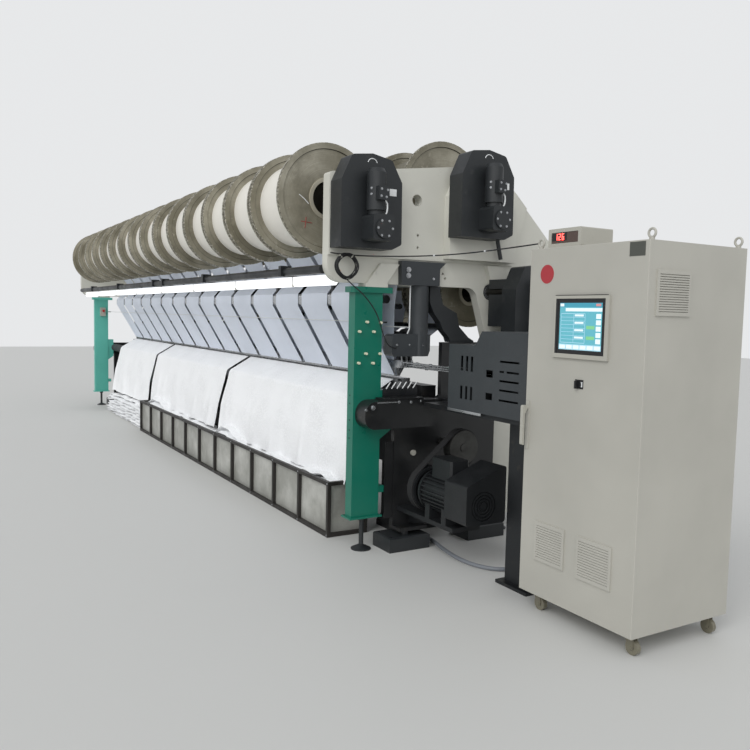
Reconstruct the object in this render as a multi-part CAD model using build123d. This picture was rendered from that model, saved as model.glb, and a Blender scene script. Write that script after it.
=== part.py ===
from build123d import *
import os
from math import asin, cos, degrees, hypot, pi, radians, sin, tan

# Tricot knitting machine, in millimetres. The origin is the middle of the near front column's
# foot on the floor. X runs along the machine to the control cabinet, Y to the rear, Z up.

# Clearances
LONG_CLEARANCE = 0.7      # round a piece that turns or slides in a machine-long row
SMALL_CLEARANCE = 0.3     # round a small fitting that turns or slides

# Front columns
COLUMN_SPACING = 8987.0
COLUMN_WIDTH = 86.0
COLUMN_DEPTH = 214.0
COLUMN_WALL = 6.0
COLUMN_FLANGE_LIP = 20.0
COLUMN_FLANGE_THICKNESS = 12.0
COLUMN_BASE_Z = 228.0
COLUMN_HEAD_Z = 1773.0
COLUMN_HEAD_THICKNESS = 39.0
COLUMN_HEAD_Z1 = COLUMN_HEAD_Z + COLUMN_HEAD_THICKNESS
COLUMN_HOLE_RADIUS = 7.0
COLUMN_HOLE_HEIGHTS = (1076.0, 1021.0, 907.0, 838.0, 783.0)
BRACKET_DEPTH = 86.0
BRACKET_Z0 = 770.0
BRACKET_Z1 = 1110.0
PIN_RADIUS = 9.0
PIN_LENGTH = 22.0
PIN_PLACES = (
    (-16, 1576), (91, 1573), (-73, 1511), (37, 1511), (-21, 1362), (92, 1361), (-75, 1299), (36, 1297),
)
STOP_BOX_DEPTH = 50.0
STOP_PLACE = (20.0, 1590.0)
STOP_STEM_RADIUS = 10.0
MID_X = -COLUMN_SPACING / 2
COLUMN_FACE_X = COLUMN_WIDTH / 2

# Feet and floor blocks
FOOT_PAD_RADIUS = 70.0
FOOT_PAD_HEIGHT = 30.0
FOOT_ROD_RADIUS = 16.5
BLOCK_HEIGHT = 100.0
BLOCK_X0 = -40.0
BLOCK_WIDTH = 230.0
BLOCK_DEPTH = 330.0
BLOCK_FRONT_Y = 120.0
BLOCK_REAR_Y = 790.0
BLOCK_HOLE_RADIUS = 9.0
BLOCK_HOLE_SPACING_X = 170.0
BLOCK_HOLE_SPACING_Y = 270.0
WALL_FOOT_Z = 130.0
STUD_RADIUS = 16.0

# Gantry end frames
GANTRY_SOFFIT_Z = 1836.0
GANTRY_PLATE_Z = 2012.0
GANTRY_NOSE_Y = -314.0
GANTRY_TOP_Z = 2545.0
GANTRY_CREST = (1010.0, 2728.0)
GANTRY_SHOULDER = (1254.0, 2549.0)
GANTRY_SLOPE_END = (1513.0, 2309.0)
GANTRY_REAR_Y = 1640.0
GANTRY_LEG_Y = 1120.0
GANTRY_LEG_Z = 120.0
GANTRY_FACE_X = 30.0
GANTRY_PLATE_X = 45.0
GANTRY_RIB_X = 70.0
GANTRY_PAD_X = 120.0
HANGER_TOP_Z = 2000.0
HANGER_HEAD_Y0 = 232.0
GUSSET_MARGIN = 6.0       # from the gusset's edge to the hanger's head plate
HANGER_FOOT_Z0 = 1341.0
HANGER_FOOT_Z1 = 1495.0
HANGER_RADIUS = 66.0

# Warp beams
BEAM_COUNT = 15
BEAM_GAP = 13.0
BEAM_START_X = -210.0
BEAM_ROW_MARGIN = 752.0   # from the row's far end to the middle of the far column
BEAM_PITCH = (COLUMN_SPACING + BEAM_START_X - BEAM_ROW_MARGIN) / BEAM_COUNT
FLANGE_RADIUS = 376.0
LOWER_FLANGE_RADIUS = 266.0
FLANGE_RIM = 40.0
FLANGE_THICKNESS = 26.0
FLANGE_RECESS = 8.0
BARREL_RADIUS = 142.0
LOWER_BARREL_RADIUS = 100.0
BARREL_WALL = 24.0
YARN_RADIUS = 295.0
LOWER_YARN_RADIUS = 205.0
SHAFT_RADIUS = 35.0
BEARING_RADIUS = 60.0
FRONT_AXIS = (-190.0, 2408.0)
REAR_AXIS = (775.0, 2540.0)
LOWER_AXIS = (1040.0, 1812.0)
BEAM_LENGTH = BEAM_PITCH - BEAM_GAP
ROW_END_X = BEAM_START_X - BEAM_PITCH * BEAM_COUNT
PACKAGE_INSET = FLANGE_RECESS + 10.0

# Let-off guards and gearmotors
GUARD_WALL = 4.0
GUARD_DEPTH = 150.0
GUARD_OUTLINE = ((0, 0), (0, 425), (75, 585), (225, 604), (371, 576), (451, 438), (456, 35), (384, 0))
FRONT_GUARD = (45.0, -305.0, 2055.0)
REAR_GUARD = (120.0, 583.0, 2175.0)
LOWER_GUARD = (260.0, 967.0, 1400.0)
LETOFF_GEAR_RADIUS = 60.0
LETOFF_GEAR_WIDTH = 30.0
GEARMOTOR_DEPTH = 155.0
GEARMOTOR_RADIUS = 62.0

# Tie beams
TIE_WALL = 8.0
UPPER_TIE = (240.0, 370.0, 2300.0, 2440.0)
SWING_TIE = (430.0, 560.0, 1836.0, 1990.0)
REAR_TIE = (1400.0, 1520.0, 300.0, 420.0)

# Yarn path, as (Y, Z) places
YARN_STRIP_MARGIN = 11.0   # from the end of the yarn package to the edge of its strip
YARN_STRIP_WIDTH = BEAM_LENGTH - 2 * (PACKAGE_INSET + YARN_STRIP_MARGIN)
YARN_THICKNESS = 2.0
DEFLECTION_ROD = (285.0, 1990.0)
DEFLECTION_ROD_RADIUS = 15.0
MIDDLE_RAIL = (402.0, 1690.0)
REAR_RAIL = (770.0, 1550.0)
STATIC_RAIL_RADIUS = 20.0
GAP_PLATE = 12.0

# Front tension rail
RAIL_NOSE_Y = 100.0
RAIL_DEPTH = 90.0
RAIL_Z0 = 1690.0
RAIL_Z1 = 1785.0
RAIL_TUBE = (260.0, 1738.0)
RAIL_TUBE_RADIUS = 30.0
PLUNGER_RADIUS = 10.0
PLUNGER_LENGTH = 30.0
CLAMP_WIDTH = 40.0

# Swing shaft and guide bars
SWING_AXIS = (430.0, 1480.0)
SWING_RADIUS = 28.0
LEVER_THICKNESS = 30.0
CARRIER_Z0 = 1300.7
CARRIER_Z1 = 1340.0
GUIDE_TOP_Z = CARRIER_Z0 - LONG_CLEARANCE
GUIDE_BAR_HEIGHT = 55.0
GUIDE_BAR_WIDTH = 26.0
GUIDE_TIP_Z = 1178.0
GUIDE_BARS = {
    "guide_bar_front": (391.0, 395.0, 680.0, 1288.0),
    "guide_bar_middle": (430.0, 415.0, 880.0, 1270.0),
    "guide_bar_rear": (471.0, 436.0, 1080.0, 1252.0),
}
PUSH_ROD_RADIUS = 6.0
DRIVE_LENGTH = 180.0
DRIVE_WIDTH = 38.0
DRIVE_SLOT_DEPTH = 70.0
DRIVE_SLOT = 32.0
DRIVE_TOP_Z = 1345.0

# Knitting elements
NEEDLE_BAR_Y = 415.0
NEEDLE_BAR_Z1 = 1140.0
NEEDLE_TIP_Z = 1156.0
TONGUE_BAR_Y = 378.0
TONGUE_BAR_Z1 = 1095.0
LIFT_ROD_RADIUS = 10.0
LIFT_ROD_Y = 420.0
LIFT_ROD_Z0 = 700.0
LIFT_ROD_COUNT = 8
TRICK_PLATE_Z1 = 1120.0
TRICK_PLATE_THICKNESS = 25.0
SINKER_BAR_HEIGHT = 44.0

# Machine bed
BED_Y0 = 300.0
BED_Y1 = 1000.0
BED_Z0 = 560.0
BED_Z1 = 860.0
BED_WALL = 25.0
BED_END_X = 20.0
RIB_Y0 = 520.0
RIB_Y1 = 640.0
END_WALL_THICKNESS = 40.0
LEG_INSET = 360.0
LEG_COUNT = 5
LEG_WIDTH = 280.0

# Main drive
MAIN_SHAFT = (620.0, 720.0)
MAIN_SHAFT_RADIUS = 30.0
ECCENTRIC_RADIUS = 70.0
ECCENTRIC_OFFSET = 12.0
PULLEY_X0 = 250.0
PULLEY_WIDTH = 80.0
SHAFT_PULLEY_RADIUS = 120.0
MOTOR_PULLEY_RADIUS = 150.0
BELT_THICKNESS = 8.0
MOTOR_AXIS = (360.0, 460.0)
MOTOR_RADIUS = 118.0
MOTOR_FIN = 14.0
MOTOR_X0 = 360.0
MOTOR_X1 = 655.0
MOTOR_HOOD_X1 = 885.0
MOTOR_HOOD_Y = (228.0, 534.0)
MOTOR_HOOD_Z = (345.0, 590.0, 712.0)
MOTOR_SHAFT_RADIUS = 19.0
MOTOR_TABLE_Z1 = 292.0

# Take-up
FRONT_ROLLER = (215.0, 975.0)
REAR_ROLLER = (338.0, 935.0)
ROLLER_RADIUS = 60.0
ROLLER_END_X = -60.0
JOURNAL_RADIUS = 20.0
JOURNAL_DEPTH = 37.0
HOUSING_WIDTH = 137.0
HOUSING_Y0 = -90.0
HOUSING_Y1 = 500.0
HOUSING_Z0 = 860.0
HOUSING_Z1 = 1050.0

# Pattern drives and their cover
COVER_X0 = 507.0
COVER_X1 = 1256.0
COVER_Y0 = 340.0
COVER_Y1 = 740.0
COVER_Z0 = 1035.0
COVER_Z1 = 1450.0
COVER_WALL = 4.0
HOOD_Z1 = 1540.0
SHELF_THICKNESS = 30.0

# Lamp tube and light bar
LAMP_TUBE = (-305.0, 1920.0)
LAMP_TUBE_RADIUS = 30.0
LIGHT_BAR_Y = -220.0
LIGHT_BAR_Z1 = 1888.0
LIGHT_BAR_HEIGHT = 70.0
LIGHT_BAR_WIDTH = 60.0
LAMP_CLAMP_PLACES = (-670.0, -2480.0, -3900.0, -4300.0, -6120.0, -7930.0)

# Fabric and bin
FABRIC_THICKNESS = 3.0
FABRIC_END_X = BEAM_START_X - 50.0
FABRIC_FAR_X = ROW_END_X + 20.0
FABRIC_PANELS = (
    (-3120.0, FABRIC_END_X, 40.0, 452.0), (-5950.0, -3200.0, 52.0, 452.0),
    (FABRIC_FAR_X, -6030.0, 45.0, 330.5),
)
FLOOR_PILE_HEIGHT = 330.0
BIN_X0 = -5910.0
BIN_X1 = -330.0
BIN_Y0 = -95.0
BIN_Y1 = 240.0
BIN_HEIGHT = 409.0
BIN_TUBE = 28.0
BIN_BAYS = 11
BIN_PANEL = 3.0

# Control cabinet
CABINET_X0 = 1323.0
CABINET_WIDTH = 800.0
CABINET_Y0 = 280.0
CABINET_DEPTH = 720.0
CABINET_Z0 = 104.0
CABINET_Z1 = 2000.0
CABINET_WALL = 4.0
CABINET_LIP = 34.0
DOOR_THICKNESS = 22.0
DOOR_SKIN = 3.0
CASTER_RADIUS = 37.5
CASTER_WIDTH = 26.0
CASTER_OFFSET = 28.0
CASTER_INSET = 75.0
CABINET_X1 = CABINET_X0 + CABINET_WIDTH
CABINET_Y1 = CABINET_Y0 + CABINET_DEPTH
SHELL_Y0 = CABINET_Y0 + DOOR_THICKNESS + SMALL_CLEARANCE
GRILLES = ((1551.5, 413.0, 223.0, 216.0), (1868.5, 406.5, 233.0, 219.0))
SIDE_LOUVRE = (455.0, 1758.0, 239.0, 216.0)
LOUVRE_DEPTH = 8.0
LOUVRE_FRAME = 15.0
SCREEN = (1533.0, 1895.0, 1427.0, 1750.0)
SCREEN_DEPTH = 12.0
SCREEN_FRAME = 24.0
SCREEN_RECESS = 4.0
SWITCH_PLACE = (1713.5, 1294.0)
HANDLE_PLATE = (1333.0, 1359.0, 905.0, 1170.0)
HANDLE_X = 1346.0
HANDLE_Z0 = 928.0
HANDLE_Z1 = 1148.0
COUNTER_X0 = 1400.0
COUNTER_WIDTH = 240.0
COUNTER_Y0 = 330.0
COUNTER_DEPTH = 230.0
COUNTER_HEIGHT = 98.0
COUNTER_FOOT = 6.0
EYE_RING_RADIUS = 20.0
EYE_WIRE_RADIUS = 6.0
EYE_INSET = 30.0
CASTER_PLACES = {
    "caster_front_left": (CABINET_X0 + CASTER_INSET, CABINET_Y0 + CASTER_INSET),
    "caster_front_right": (CABINET_X1 - CASTER_INSET, CABINET_Y0 + CASTER_INSET),
    "caster_rear_left": (CABINET_X0 + CASTER_INSET, CABINET_Y1 - CASTER_INSET),
    "caster_rear_right": (CABINET_X1 - CASTER_INSET, CABINET_Y1 - CASTER_INSET),
}

# Cords: routes as lists of (X, Y, Z), chosen by eye
TAUT_RADIUS = 4.0
TAUT_ROUTE = (
    (45, -300, 2024), (75, -200, 2012), (100, 40, 2014), (500, 204, 2005), (900, 295, 2014),
    (1328, 325, 2034),
)
COIL_CENTRE = (100.4, -200.0, 1940.0)
COIL_RADIUS = 62.0
COIL_TUBE_RADIUS = 22.0
DROP_RADIUS = 4.0
DROP_ROUTE = (
    (100, -209, 1857), (103, -160, 1815), (103, -84, 1764), (100, -10, 1690),
    (96, 38, 1622), (93, 68, 1548), (90, 97, 1472), (84, 135, 1418), (76, 178, 1402), (60, 215, 1400),
)
CONDUIT_RADIUS = 13.0
CONDUIT_ROUTE = (
    (-220, 520, 24), (-90, 528, 18), (70, 545, 16), (250, 500, 15), (400, 468, 15), (560, 452, 15),
    (700, 472, 15), (800, 530, 15), (850, 620, 15), (905, 710, 15), (1000, 768, 15), (1130, 785, 15),
    (1280, 765, 15), (1420, 710, 15), (1540, 660, 15), (1640, 638, 15), (1700, 640, 17), (1740, 640, 50),
    (1740, 640, 104),
)


# Shape helpers
def block(x0, x1, y0, y1, z0, z1):
    return Pos((x0 + x1) / 2, (y0 + y1) / 2, (z0 + z1) / 2) * Box(x1 - x0, y1 - y0, z1 - z0)


def bar_x(x0, x1, place, radius):
    return Pos((x0 + x1) / 2, place[0], place[1]) * Rot(0, 90, 0) * Cylinder(radius, x1 - x0)


def bar_y(y0, y1, x, z, radius):
    return Pos(x, (y0 + y1) / 2, z) * Rot(90, 0, 0) * Cylinder(radius, y1 - y0)


def bar_z(z0, z1, x, y, radius):
    return Pos(x, y, (z0 + z1) / 2) * Cylinder(radius, z1 - z0)


def outline(points, rounds=()):
    shape = Polygon(*points, align=None)
    for index, radius in rounds:
        corner = Vector(*points[index])
        vertex = min(shape.vertices(), key=lambda v: (Vector(v.X, v.Y) - corner).length)
        shape = fillet(vertex, radius)
    return shape


def plate_x(points, x0, x1, rounds=()):
    return extrude(Plane.YZ.offset(x0) * outline(points, rounds), x1 - x0, dir=(1, 0, 0))


def plate_y(points, y0, y1, rounds=()):
    return extrude(Plane.XZ.offset(-y0) * outline(points, rounds), y1 - y0, dir=(0, 1, 0))


def plate_z(points, z0, z1, rounds=()):
    return extrude(Plane.XY.offset(z0) * outline(points, rounds), z1 - z0, dir=(0, 0, 1))


def turned(points, x, place):
    profile = Plane.XY * Polygon(*points, align=None)
    return Pos(x, place[0], place[1]) * revolve(profile, Axis.X, 360)


def hollow_x(x0, x1, section, wall):
    y0, y1, z0, z1 = section
    return block(x0, x1, y0, y1, z0, z1) - block(x0, x1, y0 + wall, y1 - wall, z0 + wall, z1 - wall)


def to_far_end(shape):
    return mirror(shape, about=Plane.YZ.offset(MID_X))


def group(shapes):
    return Compound(children=list(shapes))


# Middle of the gap after beam k, counted from the near end
def gap_x(k):
    return BEAM_START_X - BEAM_PITCH * k + BEAM_GAP / 2


# Outline of a strip of even thickness along a route of (Y, Z) places
def band(route, thickness):
    left, right = [], []
    for i, (y, z) in enumerate(route):
        before = route[max(i - 1, 0)]
        after = route[min(i + 1, len(route) - 1)]
        a = Vector(y - before[0], z - before[1]).normalized() if i else None
        b = Vector(after[0] - y, after[1] - z).normalized() if i < len(route) - 1 else None
        a, b = a or b, b or a
        across = Vector(-(a.Y + b.Y), a.X + b.X).normalized()
        reach = thickness / 2 / max(across.dot(Vector(-a.Y, a.X)), 0.3)
        left.append((y + across.X * reach, z + across.Y * reach))
        right.append((y - across.X * reach, z - across.Y * reach))
    return left + right[::-1]


# Point where a tight strip from a place meets a roll, on the side named
def touch_point(place, axis, radius, side):
    dy, dz = axis[0] - place[0], axis[1] - place[1]
    reach = hypot(dy, dz)
    length = (reach**2 - radius**2) ** 0.5
    turn = side * degrees(asin(radius / reach))
    direction = Vector(dy, dz).normalized().rotate(Axis.Z, turn)
    return (place[0] + direction.X * length, place[1] + direction.Y * length)


# Corner of a strip that bends round a rod between two places, clear of the rod by the radius given
def bend_point(before, rod, radius, after, side):
    a = Vector(*before)
    b = Vector(*after)
    along_a = (Vector(*touch_point(before, rod, radius, side)) - a).normalized()
    along_b = (Vector(*touch_point(after, rod, radius, -side)) - b).normalized()
    gap = b - a
    reach = (gap.X * along_b.Y - gap.Y * along_b.X) / (along_a.X * along_b.Y - along_a.Y * along_b.X)
    return (a.X + along_a.X * reach, a.Y + along_a.Y * reach)


# Columns
def front_column():
    half_x, half_y = COLUMN_WIDTH / 2, COLUMN_DEPTH / 2
    base_top = COLUMN_BASE_Z + COLUMN_FLANGE_THICKNESS
    tube = block(-half_x, half_x, -half_y, half_y, base_top, COLUMN_HEAD_Z)
    inner_x, inner_y = half_x - COLUMN_WALL, half_y - COLUMN_WALL
    tube -= block(-inner_x, inner_x, -inner_y, inner_y, base_top, COLUMN_HEAD_Z)
    lip_x, lip_y = half_x + COLUMN_FLANGE_LIP, half_y + COLUMN_FLANGE_LIP
    base = block(-lip_x, lip_x, -lip_y, lip_y, COLUMN_BASE_Z, base_top)
    head_points = ((-60, -140), (60, -140), (60, 175), (-60, 175))
    head = plate_z(head_points, COLUMN_HEAD_Z, COLUMN_HEAD_Z1, ((0, 25), (1, 25)))
    bracket_points = (
        (half_y, BRACKET_Z0), (half_y + BRACKET_DEPTH, BRACKET_Z0 + 60),
        (half_y + BRACKET_DEPTH, BRACKET_Z1),
        (half_y, BRACKET_Z1),
    )
    bracket = plate_x(bracket_points, -35, half_x)
    lug = block(-half_x + 10, half_x - 10, half_y, half_y + 48, 393, 440)
    column = tube + base + head + bracket + lug
    for height in COLUMN_HOLE_HEIGHTS:
        column -= bar_y(-half_y - 1, -half_y + COLUMN_WALL + 1, -5, height, COLUMN_HOLE_RADIUS)
    return column


def column_pins():
    pins = []
    for y, z in PIN_PLACES:
        pins.append(bar_x(COLUMN_FACE_X, COLUMN_FACE_X + PIN_LENGTH, (y, z), PIN_RADIUS))
    return pins


def levelling_foot(x, y, top_z, rod_radius):
    pad = Pos(x, y, 4) * Cylinder(FOOT_PAD_RADIUS, 8)
    cone_height = FOOT_PAD_HEIGHT - 8
    cone = Pos(x, y, 8 + cone_height / 2) * Cone(FOOT_PAD_RADIUS, rod_radius + 8, cone_height)
    rod = bar_z(FOOT_PAD_HEIGHT, top_z, x, y, rod_radius)
    nut = extrude(Pos(x, y, top_z - 24) * RegularPolygon(rod_radius * 1.7, 6), 24, dir=(0, 0, 1))
    return pad + cone + rod + nut


def floor_block(y0):
    x1, y1 = BLOCK_X0 + BLOCK_WIDTH, y0 + BLOCK_DEPTH
    base = block(BLOCK_X0, x1, y0, y1, 0, BLOCK_HEIGHT)
    base = chamfer(base.faces().sort_by(Axis.Z)[-1].edges(), 8)
    mid_x, mid_y = (BLOCK_X0 + x1) / 2, (y0 + y1) / 2
    for side_x in (-1, 1):
        for side_y in (-1, 1):
            hole_x = mid_x + side_x * BLOCK_HOLE_SPACING_X / 2
            hole_y = mid_y + side_y * BLOCK_HOLE_SPACING_Y / 2
            base -= bar_z(-1, BLOCK_HEIGHT + 1, hole_x, hole_y, BLOCK_HOLE_RADIUS)
    return base


def wall_stud(y):
    x = BED_END_X + END_WALL_THICKNESS + 50
    collar = bar_z(BLOCK_HEIGHT, WALL_FOOT_Z, x, y, STUD_RADIUS * 1.6)
    return collar


def machine_feet():
    near = [
        levelling_foot(0, 0, COLUMN_BASE_Z, FOOT_ROD_RADIUS),
        levelling_foot(0, GANTRY_LEG_Y + 90, GANTRY_LEG_Z, FOOT_ROD_RADIUS + 6),
        levelling_foot(0, GANTRY_REAR_Y - 90, GANTRY_LEG_Z, FOOT_ROD_RADIUS + 6),
        floor_block(BLOCK_FRONT_Y),
        floor_block(BLOCK_REAR_Y),
        wall_stud(BLOCK_FRONT_Y + BLOCK_DEPTH / 2),
        wall_stud(BLOCK_REAR_Y + BLOCK_DEPTH / 2),
    ]
    return group(near + [to_far_end(piece) for piece in near])


# Gantry end frames
def gantry_frame():
    outer = (
        (GANTRY_NOSE_Y, GANTRY_TOP_Z), GANTRY_CREST, GANTRY_SHOULDER, GANTRY_SLOPE_END,
        (GANTRY_REAR_Y, 2190),
        (GANTRY_REAR_Y, GANTRY_LEG_Z), (GANTRY_LEG_Y, GANTRY_LEG_Z), (GANTRY_LEG_Y, 1150),
        (900, GANTRY_SOFFIT_Z), (GANTRY_NOSE_Y, GANTRY_SOFFIT_Z),
    )
    rounds = ((9, 120), (8, 90), (0, 25), (1, 60))
    frame = plate_x(outer, -COLUMN_FACE_X, GANTRY_FACE_X, rounds)
    plate = (
        (GANTRY_NOSE_Y, GANTRY_PLATE_Z), (GANTRY_NOSE_Y, GANTRY_TOP_Z), GANTRY_CREST, GANTRY_SHOULDER,
        (1360, 2451), (1240, GANTRY_PLATE_Z),
    )
    frame += plate_x(plate, GANTRY_FACE_X, GANTRY_PLATE_X, ((1, 25), (2, 60)))
    rib = (
        (980, 2000), (1034, 1842), (1189, 1510), (1189, 1150), (1330, 1150), (1330, 1530), (1170, 1880),
        (1130, 2000),
    )
    frame += plate_x(rib, GANTRY_FACE_X, GANTRY_RIB_X)
    pad = ((600, 2030), (600, 2470), (680, 2640), (900, 2640), (1080, 2560), (1200, 2400), (1200, 2030))
    frame += plate_x(pad, GANTRY_PLATE_X, GANTRY_PAD_X)
    gusset_top = GANTRY_PLATE_Z - 40
    gusset = (
        (75, gusset_top), (HANGER_HEAD_Y0 - GUSSET_MARGIN, gusset_top), (125, GANTRY_SOFFIT_Z),
        (-30, GANTRY_SOFFIT_Z),
    )
    frame += plate_x(gusset, GANTRY_FACE_X, 60)
    frame -= bar_x(-60, 140, (366, 2420), 40)
    for place in ((379, 2181), (380, 2098), (610, 1926), (633, 1895)):
        frame -= bar_x(-60, 140, place, 9)
    for axis in (FRONT_AXIS, REAR_AXIS, LOWER_AXIS):
        frame -= bar_x(-60, 140, axis, BEARING_RADIUS)
    seat = block(-COLUMN_FACE_X, 60, -38, 137, COLUMN_HEAD_Z1, GANTRY_SOFFIT_Z)
    return group([frame, seat])


def gantry_tie_beams():
    x0, x1 = -COLUMN_SPACING + COLUMN_FACE_X, -COLUMN_FACE_X
    return group(hollow_x(x0, x1, section, TIE_WALL) for section in (UPPER_TIE, SWING_TIE, REAR_TIE))


# Bearing bushes in the end frames and hanger plates in the middle gap
def bush(axis, x1):
    ring = bar_x(-COLUMN_FACE_X, x1, axis, BEARING_RADIUS)
    return ring - bar_x(-COLUMN_FACE_X - 1, x1 + 1, axis, SHAFT_RADIUS + LONG_CLEARANCE)


def hanger_plate(points, axis):
    x = gap_x(7)
    plate = plate_x(points, x - 4, x + 4)
    boss = bar_x(x - 4, x + 4, axis, BEARING_RADIUS)
    return plate + boss - bar_x(x - 5, x + 5, axis, SHAFT_RADIUS + LONG_CLEARANCE)


def shaft_bearings():
    tie_y0, tie_y1, tie_z0, tie_z1 = UPPER_TIE
    front_points = ((tie_y0, tie_z0 + 20), (tie_y0, tie_z1 - 20), (FRONT_AXIS[0], FRONT_AXIS[1] + 50),
                    (FRONT_AXIS[0], FRONT_AXIS[1] - 50))
    rear_points = ((tie_y1, tie_z0 + 20), (REAR_AXIS[0], REAR_AXIS[1] - 50),
                   (REAR_AXIS[0], REAR_AXIS[1] + 50), (tie_y1, tie_z1 - 5))
    swing_y1, swing_z0, swing_z1 = SWING_TIE[1], SWING_TIE[2], SWING_TIE[3]
    lower_points = ((swing_y1, swing_z0 + 10), (LOWER_AXIS[0], LOWER_AXIS[1] - 50),
                    (LOWER_AXIS[0], LOWER_AXIS[1] + 50), (swing_y1, swing_z1 - 10))
    pieces = [
        bush(FRONT_AXIS, GANTRY_PLATE_X), bush(REAR_AXIS, GANTRY_PAD_X), bush(LOWER_AXIS, GANTRY_FACE_X),
    ]
    pieces += [to_far_end(piece) for piece in pieces]
    pieces.append(hanger_plate(front_points, FRONT_AXIS))
    pieces.append(hanger_plate(rear_points, REAR_AXIS))
    pieces.append(hanger_plate(lower_points, LOWER_AXIS))
    return group(pieces)


# Warp beams: a flanged spool turned in one piece, on a through shaft
def spool(x0, axis, flange, barrel):
    length, rim, web0, web1 = BEAM_LENGTH, FLANGE_THICKNESS, FLANGE_RECESS, PACKAGE_INSET
    ring, bore, hub0, hub1 = flange - FLANGE_RIM, barrel - BARREL_WALL, 40, 55
    near = [
        (0, bore), (0, barrel), (web0, barrel), (web0, ring), (0, ring), (0, flange), (rim, flange),
        (rim, ring),
        (web1, ring), (web1, barrel),
    ]
    inside = [(hub1, bore), (hub1, SHAFT_RADIUS), (hub0, SHAFT_RADIUS), (hub0, bore)]
    far = [(length - x, r) for x, r in reversed(near)]
    far_inside = [(length - x, r) for x, r in reversed(inside)]
    return turned(near + far + far_inside + inside, x0 - length, axis)


def warp_package(x0, axis, radius, barrel):
    tube = bar_x(x0 - BEAM_LENGTH + PACKAGE_INSET, x0 - PACKAGE_INSET, axis, radius)
    return tube - bar_x(x0 - BEAM_LENGTH, x0, axis, barrel)


def beam_starts():
    return [BEAM_START_X - BEAM_PITCH * k for k in range(BEAM_COUNT)]


# The shaft ends in its bearings, and at the near end carries the let-off gear inside the guard
def beam_shaft(axis, end_x, gear_x):
    shaft = bar_x(-COLUMN_SPACING - GANTRY_FACE_X, end_x, axis, SHAFT_RADIUS)
    gear = bar_x(gear_x, gear_x + LETOFF_GEAR_WIDTH, axis, LETOFF_GEAR_RADIUS)
    return shaft + gear


def beam_row(axis, flange, barrel, end_x, gear_x):
    spools = [spool(x, axis, flange, barrel) for x in beam_starts()]
    return spools + [beam_shaft(axis, end_x, gear_x)]


def package_row(axis, radius, barrel):
    return [warp_package(x, axis, radius, barrel) for x in beam_starts()]


# Let-off guards and gearmotors
def guard(corner, rounds=((2, 30), (4, 30), (6, 20))):
    x, y, z = corner
    shape = outline(GUARD_OUTLINE, rounds)
    solid = extrude(Plane.YZ.offset(x) * Pos(y, z) * shape, GUARD_DEPTH, dir=(1, 0, 0))
    inner = offset(shape, -GUARD_WALL)
    return solid - extrude(Plane.YZ.offset(x) * Pos(y, z) * inner, GUARD_DEPTH - GUARD_WALL, dir=(1, 0, 0))


def letoff_guards():
    front, rear, lower = guard(FRONT_GUARD), guard(REAR_GUARD), guard(LOWER_GUARD)
    spacer = block(GANTRY_FACE_X, LOWER_GUARD[0], 1000, 1300, 1560, 1900)
    spacer -= block(GANTRY_FACE_X, GANTRY_RIB_X, 1000, 1300, 1560, 1900)
    spacer -= bar_x(GANTRY_RIB_X - 1, LOWER_GUARD[0] + 1, LOWER_AXIS, SHAFT_RADIUS + 10)
    return group((front, rear, lower, spacer))


def gearmotor(corner):
    x, y, z = corner[0] + GUARD_DEPTH, corner[1], corner[2]
    case = block(x, x + GEARMOTOR_DEPTH, y + 150, y + 305, z + 40, z + 205)
    case = fillet(case.edges().filter_by(Axis.X), 22)
    cover = bar_x(x + GEARMOTOR_DEPTH, x + GEARMOTOR_DEPTH + 12, (y + 230, z + 115), 64)
    neck = bar_z(z + 205, z + 232, x + 78, y + 210, GEARMOTOR_RADIUS - 14)
    motor = bar_z(z + 232, z + 470, x + 78, y + 210, GEARMOTOR_RADIUS)
    cap = Pos(x + 78, y + 210, z + 483) * Cone(GEARMOTOR_RADIUS, GEARMOTOR_RADIUS - 16, 26)
    terminal = block(x + 78, x + 78 + GEARMOTOR_RADIUS + 34, y + 175, y + 245, z + 290, z + 375)
    return case + cover + neck + motor + cap + terminal


def letoff_gearmotors():
    drain = Pos(GANTRY_PAD_X + 40, 1004, 2132) * Rot(-165.3, 0, 0) * Cylinder(15, 180)
    drain -= guard_body(REAR_GUARD)
    drain -= block(GANTRY_PLATE_X, GANTRY_PAD_X, 600, 1200, 2030, 2640)
    return group([gearmotor(FRONT_GUARD), gearmotor(REAR_GUARD), gearmotor(LOWER_GUARD), drain])


def guard_body(corner):
    x, y, z = corner
    return extrude(Plane.YZ.offset(x) * Pos(y, z) * outline(GUARD_OUTLINE), GUARD_DEPTH, dir=(1, 0, 0))


# Hanger column under the near gantry, with its foot plate and the bent thread rod
def hanger_column():
    head_points = (
        (HANGER_HEAD_Y0 + 5, GANTRY_SOFFIT_Z), (555, GANTRY_SOFFIT_Z), (555, 1955), (605, HANGER_TOP_Z),
        (HANGER_HEAD_Y0, HANGER_TOP_Z),
    )
    head = plate_x(head_points, GANTRY_FACE_X, 75)
    post = bar_z(HANGER_FOOT_Z0, GANTRY_SOFFIT_Z, 6, 430, HANGER_RADIUS)
    foot_points = (
        (180, HANGER_FOOT_Z0), (480, HANGER_FOOT_Z0), (496, 1380), (496, HANGER_FOOT_Z1),
        (180, HANGER_FOOT_Z1),
    )
    post += plate_x(foot_points, -50, 60, ((0, 30), (4, 30)))
    for y in (220, 325, 430):
        post -= bar_x(50, 75, (y, 1421), 6)
    rod = bar_z(HANGER_FOOT_Z1, GANTRY_SOFFIT_Z, 35, 334, 4)
    return group((head, post, rod))


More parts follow.
